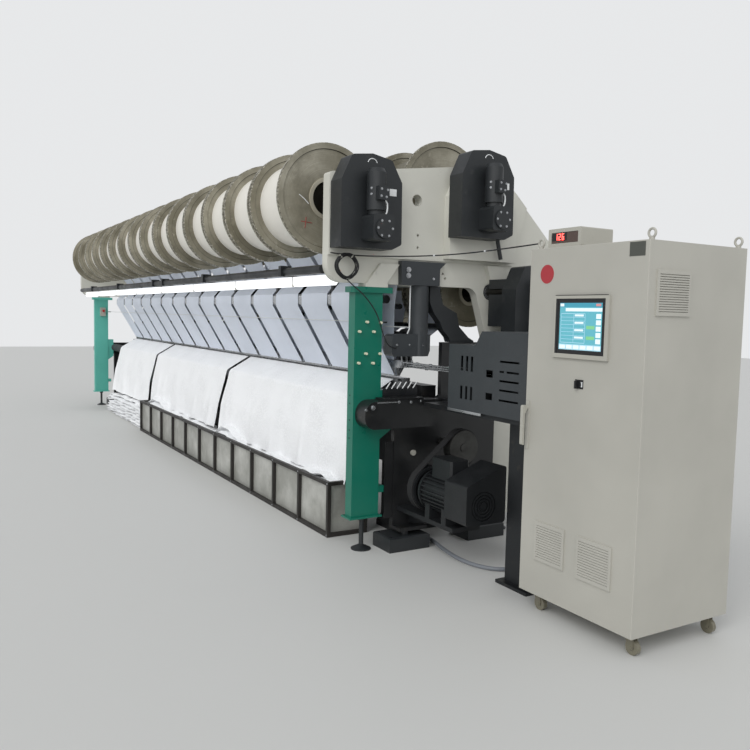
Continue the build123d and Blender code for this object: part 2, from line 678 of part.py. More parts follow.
def support_strut():
    points = (
        (690, 1440), (677, 1473), (623, 1527), (594, 1586), (540, 1647), (503, 1720), (503, GANTRY_SOFFIT_Z),
        (590, GANTRY_SOFFIT_Z), (590, 1794), (619, 1706), (740, 1649), (766, 1552), (852, 1474), (900, 1450),
        (900, 1440),
    )
    return plate_x(points, -35, 35)


# Brackets in every second gap, under and before the swing tie beam
def swing_bracket(x):
    x0, x1 = x - GAP_PLATE / 2, x + GAP_PLATE / 2
    y0, y1, z0, z1 = SWING_TIE
    arm = plate_x(((440, z0), (545, z0), (480, 1500), (385, 1500)), x0, x1)
    arm += bar_x(x0, x1, SWING_AXIS, 50)
    arm += bar_x(x0, x1, MIDDLE_RAIL, 34)
    arm += plate_x(((455, 1700), (500, 1660), (790, 1522), (770, 1582)), x0, x1)
    arm += bar_x(x0, x1, REAR_RAIL, 34)
    arm -= bar_x(x0 - 1, x1 + 1, SWING_AXIS, SWING_RADIUS + LONG_CLEARANCE)
    arm -= bar_x(x0 - 1, x1 + 1, MIDDLE_RAIL, STATIC_RAIL_RADIUS)
    arm -= bar_x(x0 - 1, x1 + 1, REAR_RAIL, STATIC_RAIL_RADIUS)
    finger = plate_x(((y0, z1 - 10), (y0, z1 - 90), (290, 1966), (290, 2008)), x0, x1)
    finger += bar_x(x0, x1, DEFLECTION_ROD, 26)
    finger -= bar_x(x0 - 1, x1 + 1, DEFLECTION_ROD, DEFLECTION_ROD_RADIUS)
    return [arm, finger]


def swing_brackets():
    pieces = []
    for k in range(2, BEAM_COUNT, 2):
        pieces += swing_bracket(gap_x(k))
    return group(pieces)


# Rods and rails that only guide the yarn
def guide_rods():
    x0, x1 = ROW_END_X + 20, BEAM_START_X + 10
    return [
        bar_x(x0, x1, DEFLECTION_ROD, DEFLECTION_ROD_RADIUS),
        bar_x(x0, x1, MIDDLE_RAIL, STATIC_RAIL_RADIUS),
        bar_x(x0, x1, REAR_RAIL, STATIC_RAIL_RADIUS),
    ]


# Front tension rail on plungers, and the clamps and tube that hold it
def clamp(x):
    y0, z0 = RAIL_NOSE_Y, RAIL_Z1
    points = (
        (y0 + 22, z0 + 8), (y0 + 22, z0 + 95), (y0 + 140, z0 + 95), (310, 1765), (310, 1712), (204, 1712),
        (204, z0 + 8),
    )
    body = plate_x(points, x - CLAMP_WIDTH / 2, x + CLAMP_WIDTH / 2, ((1, 12), (2, 12)))
    arm = ((SWING_TIE[0], 1850), (SWING_TIE[0], 1900), (240, 1820), (260, 1765), (305, 1765))
    body += plate_x(arm, x - 6, x + 6)
    body -= bar_x(x - 30, x + 30, RAIL_TUBE, RAIL_TUBE_RADIUS)
    return body - bar_y(200, 235, x, RAIL_TUBE[1], PLUNGER_RADIUS + LONG_CLEARANCE)


def clamp_places():
    return [gap_x(k) for k in range(1, BEAM_COUNT, 2)]


def yarn_guide_rails():
    tube = bar_x(ROW_END_X - 100, BEAM_START_X + 50, RAIL_TUBE, RAIL_TUBE_RADIUS)
    return group([tube] + guide_rods() + [clamp(x) for x in clamp_places()])


def front_tension_rail():
    y0, y1 = RAIL_NOSE_Y, RAIL_NOSE_Y + RAIL_DEPTH
    points = ((y0, RAIL_Z0), (y0, RAIL_Z1), (y1, RAIL_Z1), (y1, RAIL_Z0))
    rail = plate_x(points, ROW_END_X, BEAM_START_X, ((0, 20), (1, 20)))
    plungers = [bar_y(y1, y1 + PLUNGER_LENGTH, x, RAIL_TUBE[1], PLUNGER_RADIUS) for x in clamp_places()]
    return group([rail] + plungers)


# Yarn sheets, a strip from each warp beam
def sheet_routes():
    offset_y = YARN_THICKNESS / 2 + LONG_CLEARANCE + 0.1
    nose = RAIL_NOSE_Y - offset_y
    over_nose = (nose, RAIL_Z1 + offset_y)
    rod_corner = DEFLECTION_ROD
    for _ in range(4):
        front_touch = touch_point(rod_corner, FRONT_AXIS, YARN_RADIUS + offset_y, -1)
        rod_corner = bend_point(front_touch, DEFLECTION_ROD, DEFLECTION_ROD_RADIUS + offset_y, over_nose, 1)
    front = [front_touch, rod_corner, over_nose, (nose, RAIL_Z0 - 1), (364, 1236)]
    rail_side = (MIDDLE_RAIL[0] - STATIC_RAIL_RADIUS - offset_y, MIDDLE_RAIL[1])
    rear_touch = touch_point(rail_side, REAR_AXIS, YARN_RADIUS + offset_y, 1)
    rear = [rear_touch, rail_side, (376, 1350)]
    under = (REAR_RAIL[0] + STATIC_RAIL_RADIUS + offset_y, REAR_RAIL[1] - 12)
    lower_touch = touch_point(under, LOWER_AXIS, LOWER_YARN_RADIUS + offset_y, 1)
    lower = [lower_touch, under, (520, 1350)]
    return front, rear, lower


def yarn_sheets():
    strips = []
    side = (BEAM_LENGTH - YARN_STRIP_WIDTH) / 2
    for route in sheet_routes():
        points = band(route, YARN_THICKNESS)
        for x in beam_starts():
            strips.append(plate_x(points, x - side - YARN_STRIP_WIDTH, x - side))
    return group(strips)


# Swing shaft with its levers
def lever_places():
    return [BEAM_START_X + 40] + [gap_x(k) for k in range(1, BEAM_COUNT, 2)] + [ROW_END_X - 40]


def swing_levers():
    x_ends = (ROW_END_X - 90, BEAM_START_X + 90)
    pieces = [bar_x(x_ends[0], x_ends[1], SWING_AXIS, SWING_RADIUS)]
    for x in lever_places():
        x0, x1 = x - LEVER_THICKNESS / 2, x + LEVER_THICKNESS / 2
        lever = plate_x(((385, 1480), (475, 1480), (462, CARRIER_Z1), (398, CARRIER_Z1)), x0, x1)
        lever += bar_x(x0, x1, SWING_AXIS, 50)
        lever += block(x0, x1, 370, 490, CARRIER_Z0, CARRIER_Z1)
        pieces.append(lever - bar_x(x0 - 1, x1 + 1, SWING_AXIS, SWING_RADIUS))
    return group(pieces)


# Guide bars: a long bar, a slanted row of leads for each warp, and a push rod
def guide_bar(name):
    y, tip_y, drive_x, rod_z = GUIDE_BARS[name]
    half = GUIDE_BAR_WIDTH / 2
    z1 = GUIDE_TOP_Z
    z0 = z1 - GUIDE_BAR_HEIGHT
    x0, x1 = ROW_END_X - 60, BEAM_START_X + 60
    pieces = [block(x0, x1, y - half, y + half, z0, z1)]
    leads = ((y - 7, z0), (y + 7, z0), (tip_y + 2, GUIDE_TIP_Z), (tip_y - 2, GUIDE_TIP_Z))
    side = (BEAM_LENGTH - YARN_STRIP_WIDTH) / 2
    for x in beam_starts():
        pieces.append(plate_x(leads, x - side - YARN_STRIP_WIDTH, x - side))
    pieces.append(bar_x(x1, drive_x - 40, (y, rod_z), PUSH_ROD_RADIUS))
    return group(pieces)


# A drive takes the end of its push rod between a base and a jaw
def pattern_drive(y, drive_x, rod_z):
    x0, x1 = drive_x - DRIVE_LENGTH / 2, drive_x + DRIVE_LENGTH / 2
    y0, y1 = y - DRIVE_WIDTH / 2, y + DRIVE_WIDTH / 2
    slot_x1 = x0 + DRIVE_SLOT_DEPTH
    base = block(x0, x1, y0, y1, COVER_Z0, rod_z - DRIVE_SLOT / 2)
    head = block(slot_x1, x1, y0, y1, rod_z - DRIVE_SLOT / 2, DRIVE_TOP_Z)
    jaw = block(x0, slot_x1, y0, y1, rod_z + DRIVE_SLOT / 2, DRIVE_TOP_Z)
    pieces = [base]
    for piece in (head, jaw):
        pieces.append(chamfer(piece.edges().filter_by(Axis.X).group_by(Axis.Z)[-1], 4))
    return pieces


def pattern_drives():
    y0, y1 = COVER_Y0 + 20, COVER_Y1 - 20
    shelf_z0 = COVER_Z0 - SHELF_THICKNESS
    shelf = block(200, COVER_X1, y0, y1, shelf_z0, COVER_Z0)
    shelf += block(BED_END_X + END_WALL_THICKNESS, 200, 610, y1, shelf_z0, COVER_Z0)
    stand = block(1000, 1200, 450, 650, 20, shelf_z0) + block(960, 1240, 410, 690, 0, 20)
    pieces = [shelf, stand]
    for y, _, drive_x, rod_z in GUIDE_BARS.values():
        pieces += pattern_drive(y, drive_x, rod_z)
    return group(pieces)


# Slotted sheet cover with its raised hood
def pattern_drive_cover():
    w = COVER_WALL
    shell = block(COVER_X0, COVER_X1, COVER_Y0, COVER_Y1, COVER_Z0, COVER_Z1)
    hood_points = ((778, COVER_Z1), (840, HOOD_Z1), (COVER_X1, HOOD_Z1), (COVER_X1, COVER_Z1))
    shell += plate_y(hood_points, COVER_Y0, COVER_Y1)
    shell -= block(COVER_X0 + w, COVER_X1 - w, COVER_Y0 + w, COVER_Y1 - w, COVER_Z0, COVER_Z1 - w)
    hood_inner = (
        (785, COVER_Z1 - w), (842, HOOD_Z1 - w), (COVER_X1 - w, HOOD_Z1 - w), (COVER_X1 - w, COVER_Z1 - w),
    )
    shell -= plate_y(hood_inner, COVER_Y0 + w, COVER_Y1 - w)
    y0, y1 = COVER_Y0 - 1, COVER_Y0 + w + 1
    cuts = []
    for x in (636, 688, 738):
        cuts.append(block(x, x + 23, y0, y1, 1286, 1380))
        cuts.append(block(x, x + 23, y0, y1, 1107, 1190))
    cuts.append(block(892, 955, y0, y1, 1264, 1308))
    cuts.append(block(892, 955, y0, y1, 1128, 1169))
    for z in (1366, 1251, 1196, 1136):
        cuts.append(block(1018, 1190, y0, y1, z - 6, z + 6))
    cuts.append(block(1017, 1058, y0, y1, 1300, 1312))
    cuts.append(block(1080, 1190, y0, y1, 1300, 1312))
    cuts.append(block(COVER_X0 - 1, COVER_X0 + w + 1, 372, 500, 1240, 1310))
    return shell - group(cuts)


# Needle, tongue and sinker bars, and the trick plate
def lift_rods(z1, x_shift):
    pitch = (BEAM_START_X - ROW_END_X) / LIFT_ROD_COUNT
    rods = []
    for k in range(LIFT_ROD_COUNT):
        x = BEAM_START_X - pitch * (k + 0.5) + x_shift
        rods.append(bar_z(LIFT_ROD_Z0, z1, x, LIFT_ROD_Y, LIFT_ROD_RADIUS))
    return rods


def needle_bar():
    z0 = NEEDLE_BAR_Z1 - 55
    bar = block(ROW_END_X, BEAM_START_X, NEEDLE_BAR_Y - 15, NEEDLE_BAR_Y + 15, z0, NEEDLE_BAR_Z1)
    x0, x1 = ROW_END_X + 15, BEAM_START_X - 15
    needles = block(x0, x1, NEEDLE_BAR_Y - 8, NEEDLE_BAR_Y - 4, NEEDLE_BAR_Z1, NEEDLE_TIP_Z)
    return group([bar, needles] + lift_rods(z0, 0))


def tongue_bar():
    z0 = TONGUE_BAR_Z1 - 65
    bar = block(ROW_END_X, BEAM_START_X, TONGUE_BAR_Y - 18, TONGUE_BAR_Y + 18, z0, TONGUE_BAR_Z1)
    rods = lift_rods(z0 + 5, 100)
    lugs = []
    for rod in rods:
        x = rod.center().X
        lugs.append(block(x - 15, x + 15, TONGUE_BAR_Y + 18, LIFT_ROD_Y + 14, z0 + 5, z0 + 30))
    return group([bar] + lugs + rods)


def sinker_bar():
    z0 = TRICK_PLATE_Z1 + LONG_CLEARANCE
    z1 = z0 + SINKER_BAR_HEIGHT
    points = ((440, z0), (440, z1 - 14), (425, z1 - 6), (425, z1 - 4), (440, z1), (510, z1), (510, z0))
    return plate_x(points, ROW_END_X, BEAM_START_X)


def trick_plate():
    z0 = TRICK_PLATE_Z1 - TRICK_PLATE_THICKNESS
    return block(ROW_END_X, BEAM_START_X, 434, RIB_Y0, z0, TRICK_PLATE_Z1)


# Machine bed: a long hollow casting with an upright rib, on cast legs
def machine_bed():
    x0, x1 = -COLUMN_SPACING - BED_END_X, BED_END_X
    bed = hollow_x(x0, x1, (BED_Y0, BED_Y1, BED_Z0, BED_Z1), BED_WALL)
    bed += block(x0 + 80, x1 - 80, RIB_Y0, RIB_Y1, BED_Z1, TRICK_PLATE_Z1)
    for rod in lift_rods(NEEDLE_BAR_Z1, 0) + lift_rods(NEEDLE_BAR_Z1, 100):
        x = rod.center().X
        bed -= bar_z(BED_Z1 - BED_WALL - 1, BED_Z1 + 1, x, LIFT_ROD_Y, LIFT_ROD_RADIUS + LONG_CLEARANCE)
    legs = []
    for k in range(LEG_COUNT):
        x = -LEG_INSET - (COLUMN_SPACING - 2 * LEG_INSET) * k / (LEG_COUNT - 1)
        half = LEG_WIDTH / 2
        points = (
            (420, 0), (880, 0), (880, 40), (840, 90), (840, BED_Z0), (460, BED_Z0), (460, 90), (420, 40),
        )
        legs.append(plate_x(points, x - half, x + half))
    return group([bed] + legs)


def bed_end_wall():
    x0 = BED_END_X
    x1 = x0 + END_WALL_THICKNESS
    points = (
        (BLOCK_FRONT_Y + 95, WALL_FOOT_Z), (1100, WALL_FOOT_Z), (1100, 1000), (1000, 1440), (600, 1440),
        (600, 1060), (HOUSING_Y1, HOUSING_Z1 - 50), (HOUSING_Y1, BED_Z1), (BLOCK_FRONT_Y + 95, BED_Z1),
    )
    wall = plate_x(points, x0, x1, ((1, 40), (3, 30)))
    for y0 in (BLOCK_FRONT_Y + 95, BLOCK_REAR_Y + 40):
        wall += block(x1, x1 + 100, y0, y0 + 230, WALL_FOOT_Z, WALL_FOOT_Z + 25)
    bore = MAIN_SHAFT_RADIUS + LONG_CLEARANCE
    return wall - bar_x(x0 - 1, x1 + 1, MAIN_SHAFT, bore)


def bed_end_walls():
    near = bed_end_wall()
    far = to_far_end(near)
    board = block(45, 55, 151, 214, 210, 750)
    return group((near, far, board + block(25, 45, 190, 215, 230, 730) - near))


# Main drive
def main_shaft():
    far_x = -COLUMN_SPACING - BED_END_X - END_WALL_THICKNESS
    shaft = bar_x(far_x, PULLEY_X0 + PULLEY_WIDTH + 5, MAIN_SHAFT, MAIN_SHAFT_RADIUS)
    pieces = [shaft]
    for k in range(LIFT_ROD_COUNT):
        x = BEAM_START_X - (BEAM_START_X - ROW_END_X) / LIFT_ROD_COUNT * (k + 0.5)
        turn = 2 * pi * k / LIFT_ROD_COUNT
        place = (MAIN_SHAFT[0] + ECCENTRIC_OFFSET * cos(turn), MAIN_SHAFT[1] + ECCENTRIC_OFFSET * sin(turn))
        disc = bar_x(x - 20, x + 20, place, ECCENTRIC_RADIUS)
        pieces.append(disc - bar_x(x - 21, x + 21, MAIN_SHAFT, MAIN_SHAFT_RADIUS))
    wheel = bar_x(PULLEY_X0, PULLEY_X0 + PULLEY_WIDTH, MAIN_SHAFT, SHAFT_PULLEY_RADIUS)
    pieces.append(wheel - bar_x(PULLEY_X0 - 1, PULLEY_X0 + PULLEY_WIDTH + 1, MAIN_SHAFT, MAIN_SHAFT_RADIUS))
    return group(pieces)


def motor_pulley():
    x1 = PULLEY_X0 + PULLEY_WIDTH
    rim = MOTOR_PULLEY_RADIUS
    points = [
        (0, 0), (0, 40), (10, 40), (10, rim - 18), (0, rim - 18), (0, rim), (PULLEY_WIDTH, rim),
        (PULLEY_WIDTH, rim - 18), (30, rim - 18), (30, 40), (PULLEY_WIDTH, 40),
        (PULLEY_WIDTH, MOTOR_SHAFT_RADIUS), (PULLEY_WIDTH + MOTOR_X0 - x1, MOTOR_SHAFT_RADIUS),
        (PULLEY_WIDTH + MOTOR_X0 - x1, 0),
    ]
    return turned(points, PULLEY_X0, MOTOR_AXIS)


# A loop of belt round both pulleys, clear of them by the running clearance
def drive_belt():
    def loop(extra):
        big = Pos(*MOTOR_AXIS) * CenterArc((0, 0), MOTOR_PULLEY_RADIUS + extra, 0, 360)
        small = Pos(*MAIN_SHAFT) * CenterArc((0, 0), SHAFT_PULLEY_RADIUS + extra, 0, 360)
        return make_hull(big.edges() + small.edges())

    ring = loop(LONG_CLEARANCE + BELT_THICKNESS) - loop(LONG_CLEARANCE)
    x0, x1 = PULLEY_X0 + 12, PULLEY_X0 + PULLEY_WIDTH - 12
    return extrude(Plane.YZ.offset(x0) * ring, x1 - x0, dir=(1, 0, 0))


# Finned motor barrel, as one outline with square fins
def finned_outline(radius, fin, count):
    points = []
    for k in range(count):
        tip = radius + fin
        for share, r in ((0.0, radius), (0.25, radius), (0.25, tip), (0.6, tip), (0.6, radius)):
            turn = 2 * pi * (k + share) / count
            points.append((r * cos(turn), r * sin(turn)))
    return Polygon(*points, align=None)


# Hood over the motor's fan, its top sloped up to the rear and its end grooved round the fan
def motor_hood():
    (y0, y1), (z0, z1, z2) = MOTOR_HOOD_Y, MOTOR_HOOD_Z
    corners = ((y0, z0), (y0, z1), (y1, z2), (y1, z0))
    hood = plate_x(corners, MOTOR_X1, MOTOR_HOOD_X1, ((0, 20), (1, 20), (2, 20), (3, 20)))
    face = MOTOR_HOOD_X1
    for r in (25, 45, 65, 85):
        hood -= bar_x(face - 8, face + 1, MOTOR_AXIS, r + 9) - bar_x(face - 9, face + 2, MOTOR_AXIS, r)
    return hood


def main_motor():
    y, z = MOTOR_AXIS
    fins = Plane.YZ.offset(MOTOR_X0 + 20) * Pos(y, z) * finned_outline(MOTOR_RADIUS, MOTOR_FIN, 28)
    body = extrude(fins, MOTOR_X1 - MOTOR_X0 - 20, dir=(1, 0, 0))
    body += bar_x(MOTOR_X0, MOTOR_X0 + 20, MOTOR_AXIS, MOTOR_RADIUS + MOTOR_FIN + 6)
    terminal = block(420, 640, y - 75, y + 75, z + MOTOR_RADIUS - 12, 700)
    body += chamfer(terminal.edges().filter_by(Axis.Z), 14)
    for x in (410, 595):
        body += block(x, x + 50, y - 110, y + 110, MOTOR_TABLE_Z1, z - 60)
    mount_x0 = BED_END_X + END_WALL_THICKNESS
    table_z0 = MOTOR_TABLE_Z1 - 30
    table = block(mount_x0, 720, y - 110, y + 110, table_z0, MOTOR_TABLE_Z1)
    gusset = plate_y(((mount_x0, WALL_FOOT_Z + 25), (mount_x0, table_z0), (460, table_z0)), y - 12, y + 12)
    return group((body, motor_hood(), table, gusset))


# Take-up rollers and the housings at both ends
def takeup_roller(place):
    end = COLUMN_FACE_X + JOURNAL_DEPTH
    roller = bar_x(-COLUMN_SPACING - ROLLER_END_X, ROLLER_END_X, place, ROLLER_RADIUS)
    return roller + bar_x(-COLUMN_SPACING - end, end, place, JOURNAL_RADIUS)


def takeup_housing():
    x0, x1 = COLUMN_FACE_X, COLUMN_FACE_X + HOUSING_WIDTH
    y0, y1 = HOUSING_Y0, HOUSING_Y1
    points = ((y0, HOUSING_Z0), (y0, HOUSING_Z1), (y1, HOUSING_Z1), (y1, HOUSING_Z0))
    box = plate_x(points, x0, x1, ((0, 80), (1, 90)))
    for place in (FRONT_ROLLER, REAR_ROLLER):
        box -= bar_x(x0 - 1, x0 + JOURNAL_DEPTH + 5, place, JOURNAL_RADIUS + LONG_CLEARANCE)
    box = box + bar_x(x1, x1 + 10, (HOUSING_Y0 + 60, HOUSING_Z1 - 45), 26)
    lid = block(x0 + 12, x1 - 12, HOUSING_Y0 + 150, HOUSING_Y1 - 120, HOUSING_Z1, HOUSING_Z1 + 14)
    return group((box + lid, to_far_end(box)))


# Lamp tube along the front, and the light bar under it
def lamp_support_tube():
    y, z = LAMP_TUBE
    x0, x1 = -COLUMN_SPACING + COLUMN_FACE_X, -COLUMN_FACE_X
    pieces = [bar_x(x0, x1, LAMP_TUBE, LAMP_TUBE_RADIUS)]
    for x in LAMP_CLAMP_PLACES:
        top = LIGHT_BAR_Z1 + 8
        points = ((y - 42, z + 46), (y + 42, z + 46), (y + 42, top), (LIGHT_BAR_Y + 28, top),
                  (LIGHT_BAR_Y + 28, LIGHT_BAR_Z1), (y - 42, LIGHT_BAR_Z1))
        pieces.append(plate_x(points, x - 22, x + 22) - bar_x(x - 23, x + 23, LAMP_TUBE, LAMP_TUBE_RADIUS))
    return group(pieces)


def led_light_bar():
    half = LIGHT_BAR_WIDTH / 2
    z0 = LIGHT_BAR_Z1 - LIGHT_BAR_HEIGHT
    points = (
        (LIGHT_BAR_Y - half, LIGHT_BAR_Z1), (LIGHT_BAR_Y + half, LIGHT_BAR_Z1),
        (LIGHT_BAR_Y + half, z0 + 18),
        (LIGHT_BAR_Y + half - 14, z0), (LIGHT_BAR_Y - half + 14, z0), (LIGHT_BAR_Y - half, z0 + 18),
    )
    return plate_x(points, -COLUMN_SPACING + 60, -50)


# Push-button box on the far column's inner face, with a stop button over a flat start button
def stop_button_box():
    x0 = -COLUMN_SPACING + COLUMN_FACE_X
    x1 = x0 + STOP_BOX_DEPTH
    box = block(x0, x1, -25, 58, 1501, 1644)
    box = fillet(box.edges().filter_by(Axis.X), 8)
    box += bar_x(x1, x1 + 6, (STOP_PLACE[0], 1540), 15)
    return box - bar_x(x0 + 10, x1 + 1, STOP_PLACE, STOP_STEM_RADIUS + SMALL_CLEARANCE)


def stop_button():
    x0 = -COLUMN_SPACING + COLUMN_FACE_X
    x1 = x0 + STOP_BOX_DEPTH + 6 + SMALL_CLEARANCE
    return bar_x(x0 + 17, x1, STOP_PLACE, STOP_STEM_RADIUS) + bar_x(x1, x1 + 18, STOP_PLACE, 19)


# Fabric from the knitting line over the front roller, then down
def fabric_route(foot_y, foot_z):
    clear = FABRIC_THICKNESS / 2 + LONG_CLEARANCE + 0.1
    y, z = FRONT_ROLLER
    r = ROLLER_RADIUS + clear
    route = [(397, 1155)]
    for angle in range(120, 181, 12):
        turn = radians(angle)
        route.append((y + r * cos(turn) / cos(radians(6)), z + r * sin(turn) / cos(radians(6))))
    route += [(y - r - 28, 860), (foot_y + 32, 660), (foot_y, foot_z)]
    return route


def fabric_panels():
    panels = []
    for x0, x1, foot_y, foot_z in FABRIC_PANELS:
        panels.append(plate_x(band(fabric_route(foot_y, foot_z), FABRIC_THICKNESS), x0, x1))
    return group(panels)


def pile(x0, x1, y0, y1, z0, z1):
    heap = block(x0, x1, y0, y1, z0, z1)
    top = heap.faces().sort_by(Axis.Z)[-1].edges()
    return chamfer(top, min(60, (y1 - y0) / 3))


def fabric_piles():
    inner = BIN_TUBE + BIN_PANEL
    y0, y1 = BIN_Y0 + inner, BIN_Y1 - BIN_TUBE
    third = (BIN_X1 - BIN_X0 - 2 * inner) / 3
    heaps = []
    for k, height in enumerate((300, 360, 320)):
        x1 = BIN_X1 - inner - third * k
        heaps.append(pile(x1 - third, x1, y0, y1, 0, height))
    heaps.append(pile(FABRIC_PANELS[2][0], BIN_X0 - 90, -80, BIN_Y1, 0, FLOOR_PILE_HEIGHT))
    return group(heaps)


# Collecting bin of square tube with thin panels
def bin_posts():
    bay = (BIN_X1 - BIN_X0 - BIN_TUBE) / BIN_BAYS
    return [BIN_X0 + bay * k for k in range(BIN_BAYS + 1)]


def bin_frame():
    t = BIN_TUBE
    frame = block(BIN_X0, BIN_X1, BIN_Y0, BIN_Y0 + t, BIN_HEIGHT - t, BIN_HEIGHT)
    frame += block(BIN_X0, BIN_X1, BIN_Y0, BIN_Y0 + t, 0, t)
    for x in bin_posts():
        frame += block(x, x + t, BIN_Y0, BIN_Y0 + t, t, BIN_HEIGHT - t)
    for x in (BIN_X0, BIN_X1 - t):
        frame += block(x, x + t, BIN_Y0 + t, BIN_Y1, BIN_HEIGHT - t, BIN_HEIGHT)
        frame += block(x, x + t, BIN_Y0 + t, BIN_Y1, 0, t)
        frame += block(x, x + t, BIN_Y1 - t, BIN_Y1, t, BIN_HEIGHT - t)
    frame += block(BIN_X0, BIN_X1, BIN_Y1 - t, BIN_Y1, 0, t)
    return frame


def bin_panels():
    t, p = BIN_TUBE, BIN_PANEL
    front = block(BIN_X0 + t, BIN_X1 - t, BIN_Y0 + t, BIN_Y0 + t + p, t, BIN_HEIGHT - t)
    sides = []
    for x in (BIN_X0 + t, BIN_X1 - t - p):
        sides.append(block(x, x + p, BIN_Y0 + t + p, BIN_Y1 - t, t, BIN_HEIGHT - t))
    return group([front] + sides)


# Control cabinet
def louvre(width, height, depth, slats):
    plate = Box(width, depth, height)
    pitch = (height - 2 * LOUVRE_FRAME) / slats
    cuts = []
    for k in range(slats):
        z = -height / 2 + LOUVRE_FRAME + pitch * (k + 0.5)
        slot = Rot(35, 0, 0) * Box(width - 2 * LOUVRE_FRAME, depth * 3, pitch * 0.32)
        cuts.append(Pos(0, -depth * 0.2, z) * slot)
    return plate - group(cuts)


def cabinet_shell():
    w = CABINET_WALL
    shell = block(CABINET_X0, CABINET_X1, SHELL_Y0, CABINET_Y1, CABINET_Z0, CABINET_Z1)
    x0, x1, z0, z1 = CABINET_X0, CABINET_X1, CABINET_Z0, CABINET_Z1
    shell -= block(x0 + w, x1 - w, SHELL_Y0 + w, CABINET_Y1 - w, z0 + w, z1 - w)
    lip = CABINET_LIP
    mouth = (x0 + lip, x1 - lip, SHELL_Y0 - 1, SHELL_Y0 + w + 1, z0 + lip, z1 - lip)
    shell -= block(*mouth)
    vent_y, vent_z, vent_width, vent_height = SIDE_LOUVRE
    edge = 2 * LOUVRE_FRAME + SMALL_CLEARANCE
    vent = Pos(CABINET_X1, vent_y, vent_z) * Box(20, vent_width - edge, vent_height - edge)
    x, y, _ = CONDUIT_ROUTE[-1]
    gland = bar_z(CABINET_Z0 - 12, CABINET_Z0, x, y, CONDUIT_RADIUS + 7)
    return shell + gland - vent - bar_z(CABINET_Z0 - 13, CABINET_Z0 + w + 1, x, y, CONDUIT_RADIUS)


def side_louvre():
    y, z, width, height = SIDE_LOUVRE
    return Pos(CABINET_X1 + LOUVRE_DEPTH / 2, y, z) * Rot(0, 0, 90) * louvre(width, height, LOUVRE_DEPTH, 16)


def control_gear():
    y0 = CABINET_Y1 - CABINET_WALL - 20
    plate = block(CABINET_X0 + 60, CABINET_X1 - 60, y0 - 4, y0, CABINET_Z0 + 80, CABINET_Z1 - 80)
    spacers = [bar_y(y0, CABINET_Y1 - CABINET_WALL, x, z, 8)
               for x in (CABINET_X0 + 90, CABINET_X1 - 90) for z in (CABINET_Z0 + 110, CABINET_Z1 - 110)]
    units = []
    for x in (1410, 1590, 1770):
        units.append(block(x, x + 120, y0 - 154, y0 - 4, 1420, 1760))
    for x in (1420, 1560, 1700, 1840):
        units.append(block(x, x + 90, y0 - 84, y0 - 4, 900, 1040))
    units.append(block(1450, 1650, y0 - 134, y0 - 4, 320, 560))
    return [plate] + spacers + units


def eye_bolt(x, y):
    neck = EYE_RING_RADIUS - EYE_WIRE_RADIUS
    centre_z = CABINET_Z1 + neck + EYE_RING_RADIUS
    ring = Pos(x, y, centre_z) * Rot(90, 0, 0) * Torus(EYE_RING_RADIUS, EYE_WIRE_RADIUS)
    return ring + bar_z(CABINET_Z1, CABINET_Z1 + neck, x, y, neck - 1)


def eye_bolts():
    x_places = (CABINET_X0 + EYE_INSET, CABINET_X1 - EYE_INSET)
    y_places = (SHELL_Y0 + 24, CABINET_Y1 - EYE_INSET)
    return [eye_bolt(x, y) for x in x_places for y in y_places]


def cabinet_body():
    return group([cabinet_shell(), side_louvre()] + control_gear() + eye_bolts())


def cabinet_door():
    y0, y1 = CABINET_Y0, CABINET_Y0 + DOOR_THICKNESS
    door = block(CABINET_X0, CABINET_X1, y0, y1, CABINET_Z0, CABINET_Z1)
    door = chamfer(door.faces().sort_by(Axis.Y)[0].edges(), 2)
    door -= block(CABINET_X0 + 12, CABINET_X1 - 12, y0 + DOOR_SKIN, y1, CABINET_Z0 + 12, CABINET_Z1 - 12)
    pieces = []
    for x, z, width, height in GRILLES:
        half_x, half_z = width / 2 - LOUVRE_FRAME, height / 2 - LOUVRE_FRAME
        door -= block(x - half_x, x + half_x, y0 - 1, y1, z - half_z, z + half_z)
        pieces.append(Pos(x, y0 - LOUVRE_DEPTH / 2, z) * louvre(width, height, LOUVRE_DEPTH, 14))
    door -= bar_y(y0 - 1, y1, SWITCH_PLACE[0], SWITCH_PLACE[1], 5 + SMALL_CLEARANCE)
    plate_x0, plate_x1, plate_z0, plate_z1 = HANDLE_PLATE
    door += block(plate_x0, plate_x1, y0 - 6, y0, plate_z0, plate_z1)
    return group([door] + pieces)


def touch_screen():
    x0, x1, z0, z1 = SCREEN
    y0, y1 = CABINET_Y0 - SCREEN_DEPTH, CABINET_Y0
    glass_y0, glass_y1 = y0 + 2, y0 + 2 + SCREEN_RECESS
    bezel = block(x0, x1, y0, y1, z0, z1)
    bezel = fillet(bezel.edges().filter_by(Axis.Y), 10)
    x0, x1, z0, z1 = x0 + SCREEN_FRAME, x1 - SCREEN_FRAME, z0 + SCREEN_FRAME, z1 - SCREEN_FRAME
    opening = block(x0, x1, y0 - 1, glass_y1, z0, z1)
    glass = block(x0, x1, glass_y0, glass_y1, z0, z1)
    return group((bezel - opening, glass))


def switch_knob():
    x, z = SWITCH_PLACE
    y = CABINET_Y0
    stem = bar_y(y - 1, y + DOOR_SKIN + 4, x, z, 5)
    disc = bar_y(y - 8, y - SMALL_CLEARANCE, x, z, 22)
    grip = block(x - 5, x + 5, y - 26, y - 8, z - 20, z + 20)
    return stem + disc + grip


def door_handle():
    y, x = CABINET_Y0 - 6, HANDLE_X
    z0, z1 = HANDLE_Z0, HANDLE_Z1
    points = ((y - 40, z0), (y - 40, z1), (y - 14, z1), (y - 14, z1 - 28), (y - 26, z1 - 48), (y - 26, z0))
    lever = plate_x(points, x - 11, x + 11, ((0, 8), (1, 10)))
    return lever + bar_y(y - 14, y - SMALL_CLEARANCE, x, z1 - 14, 11)


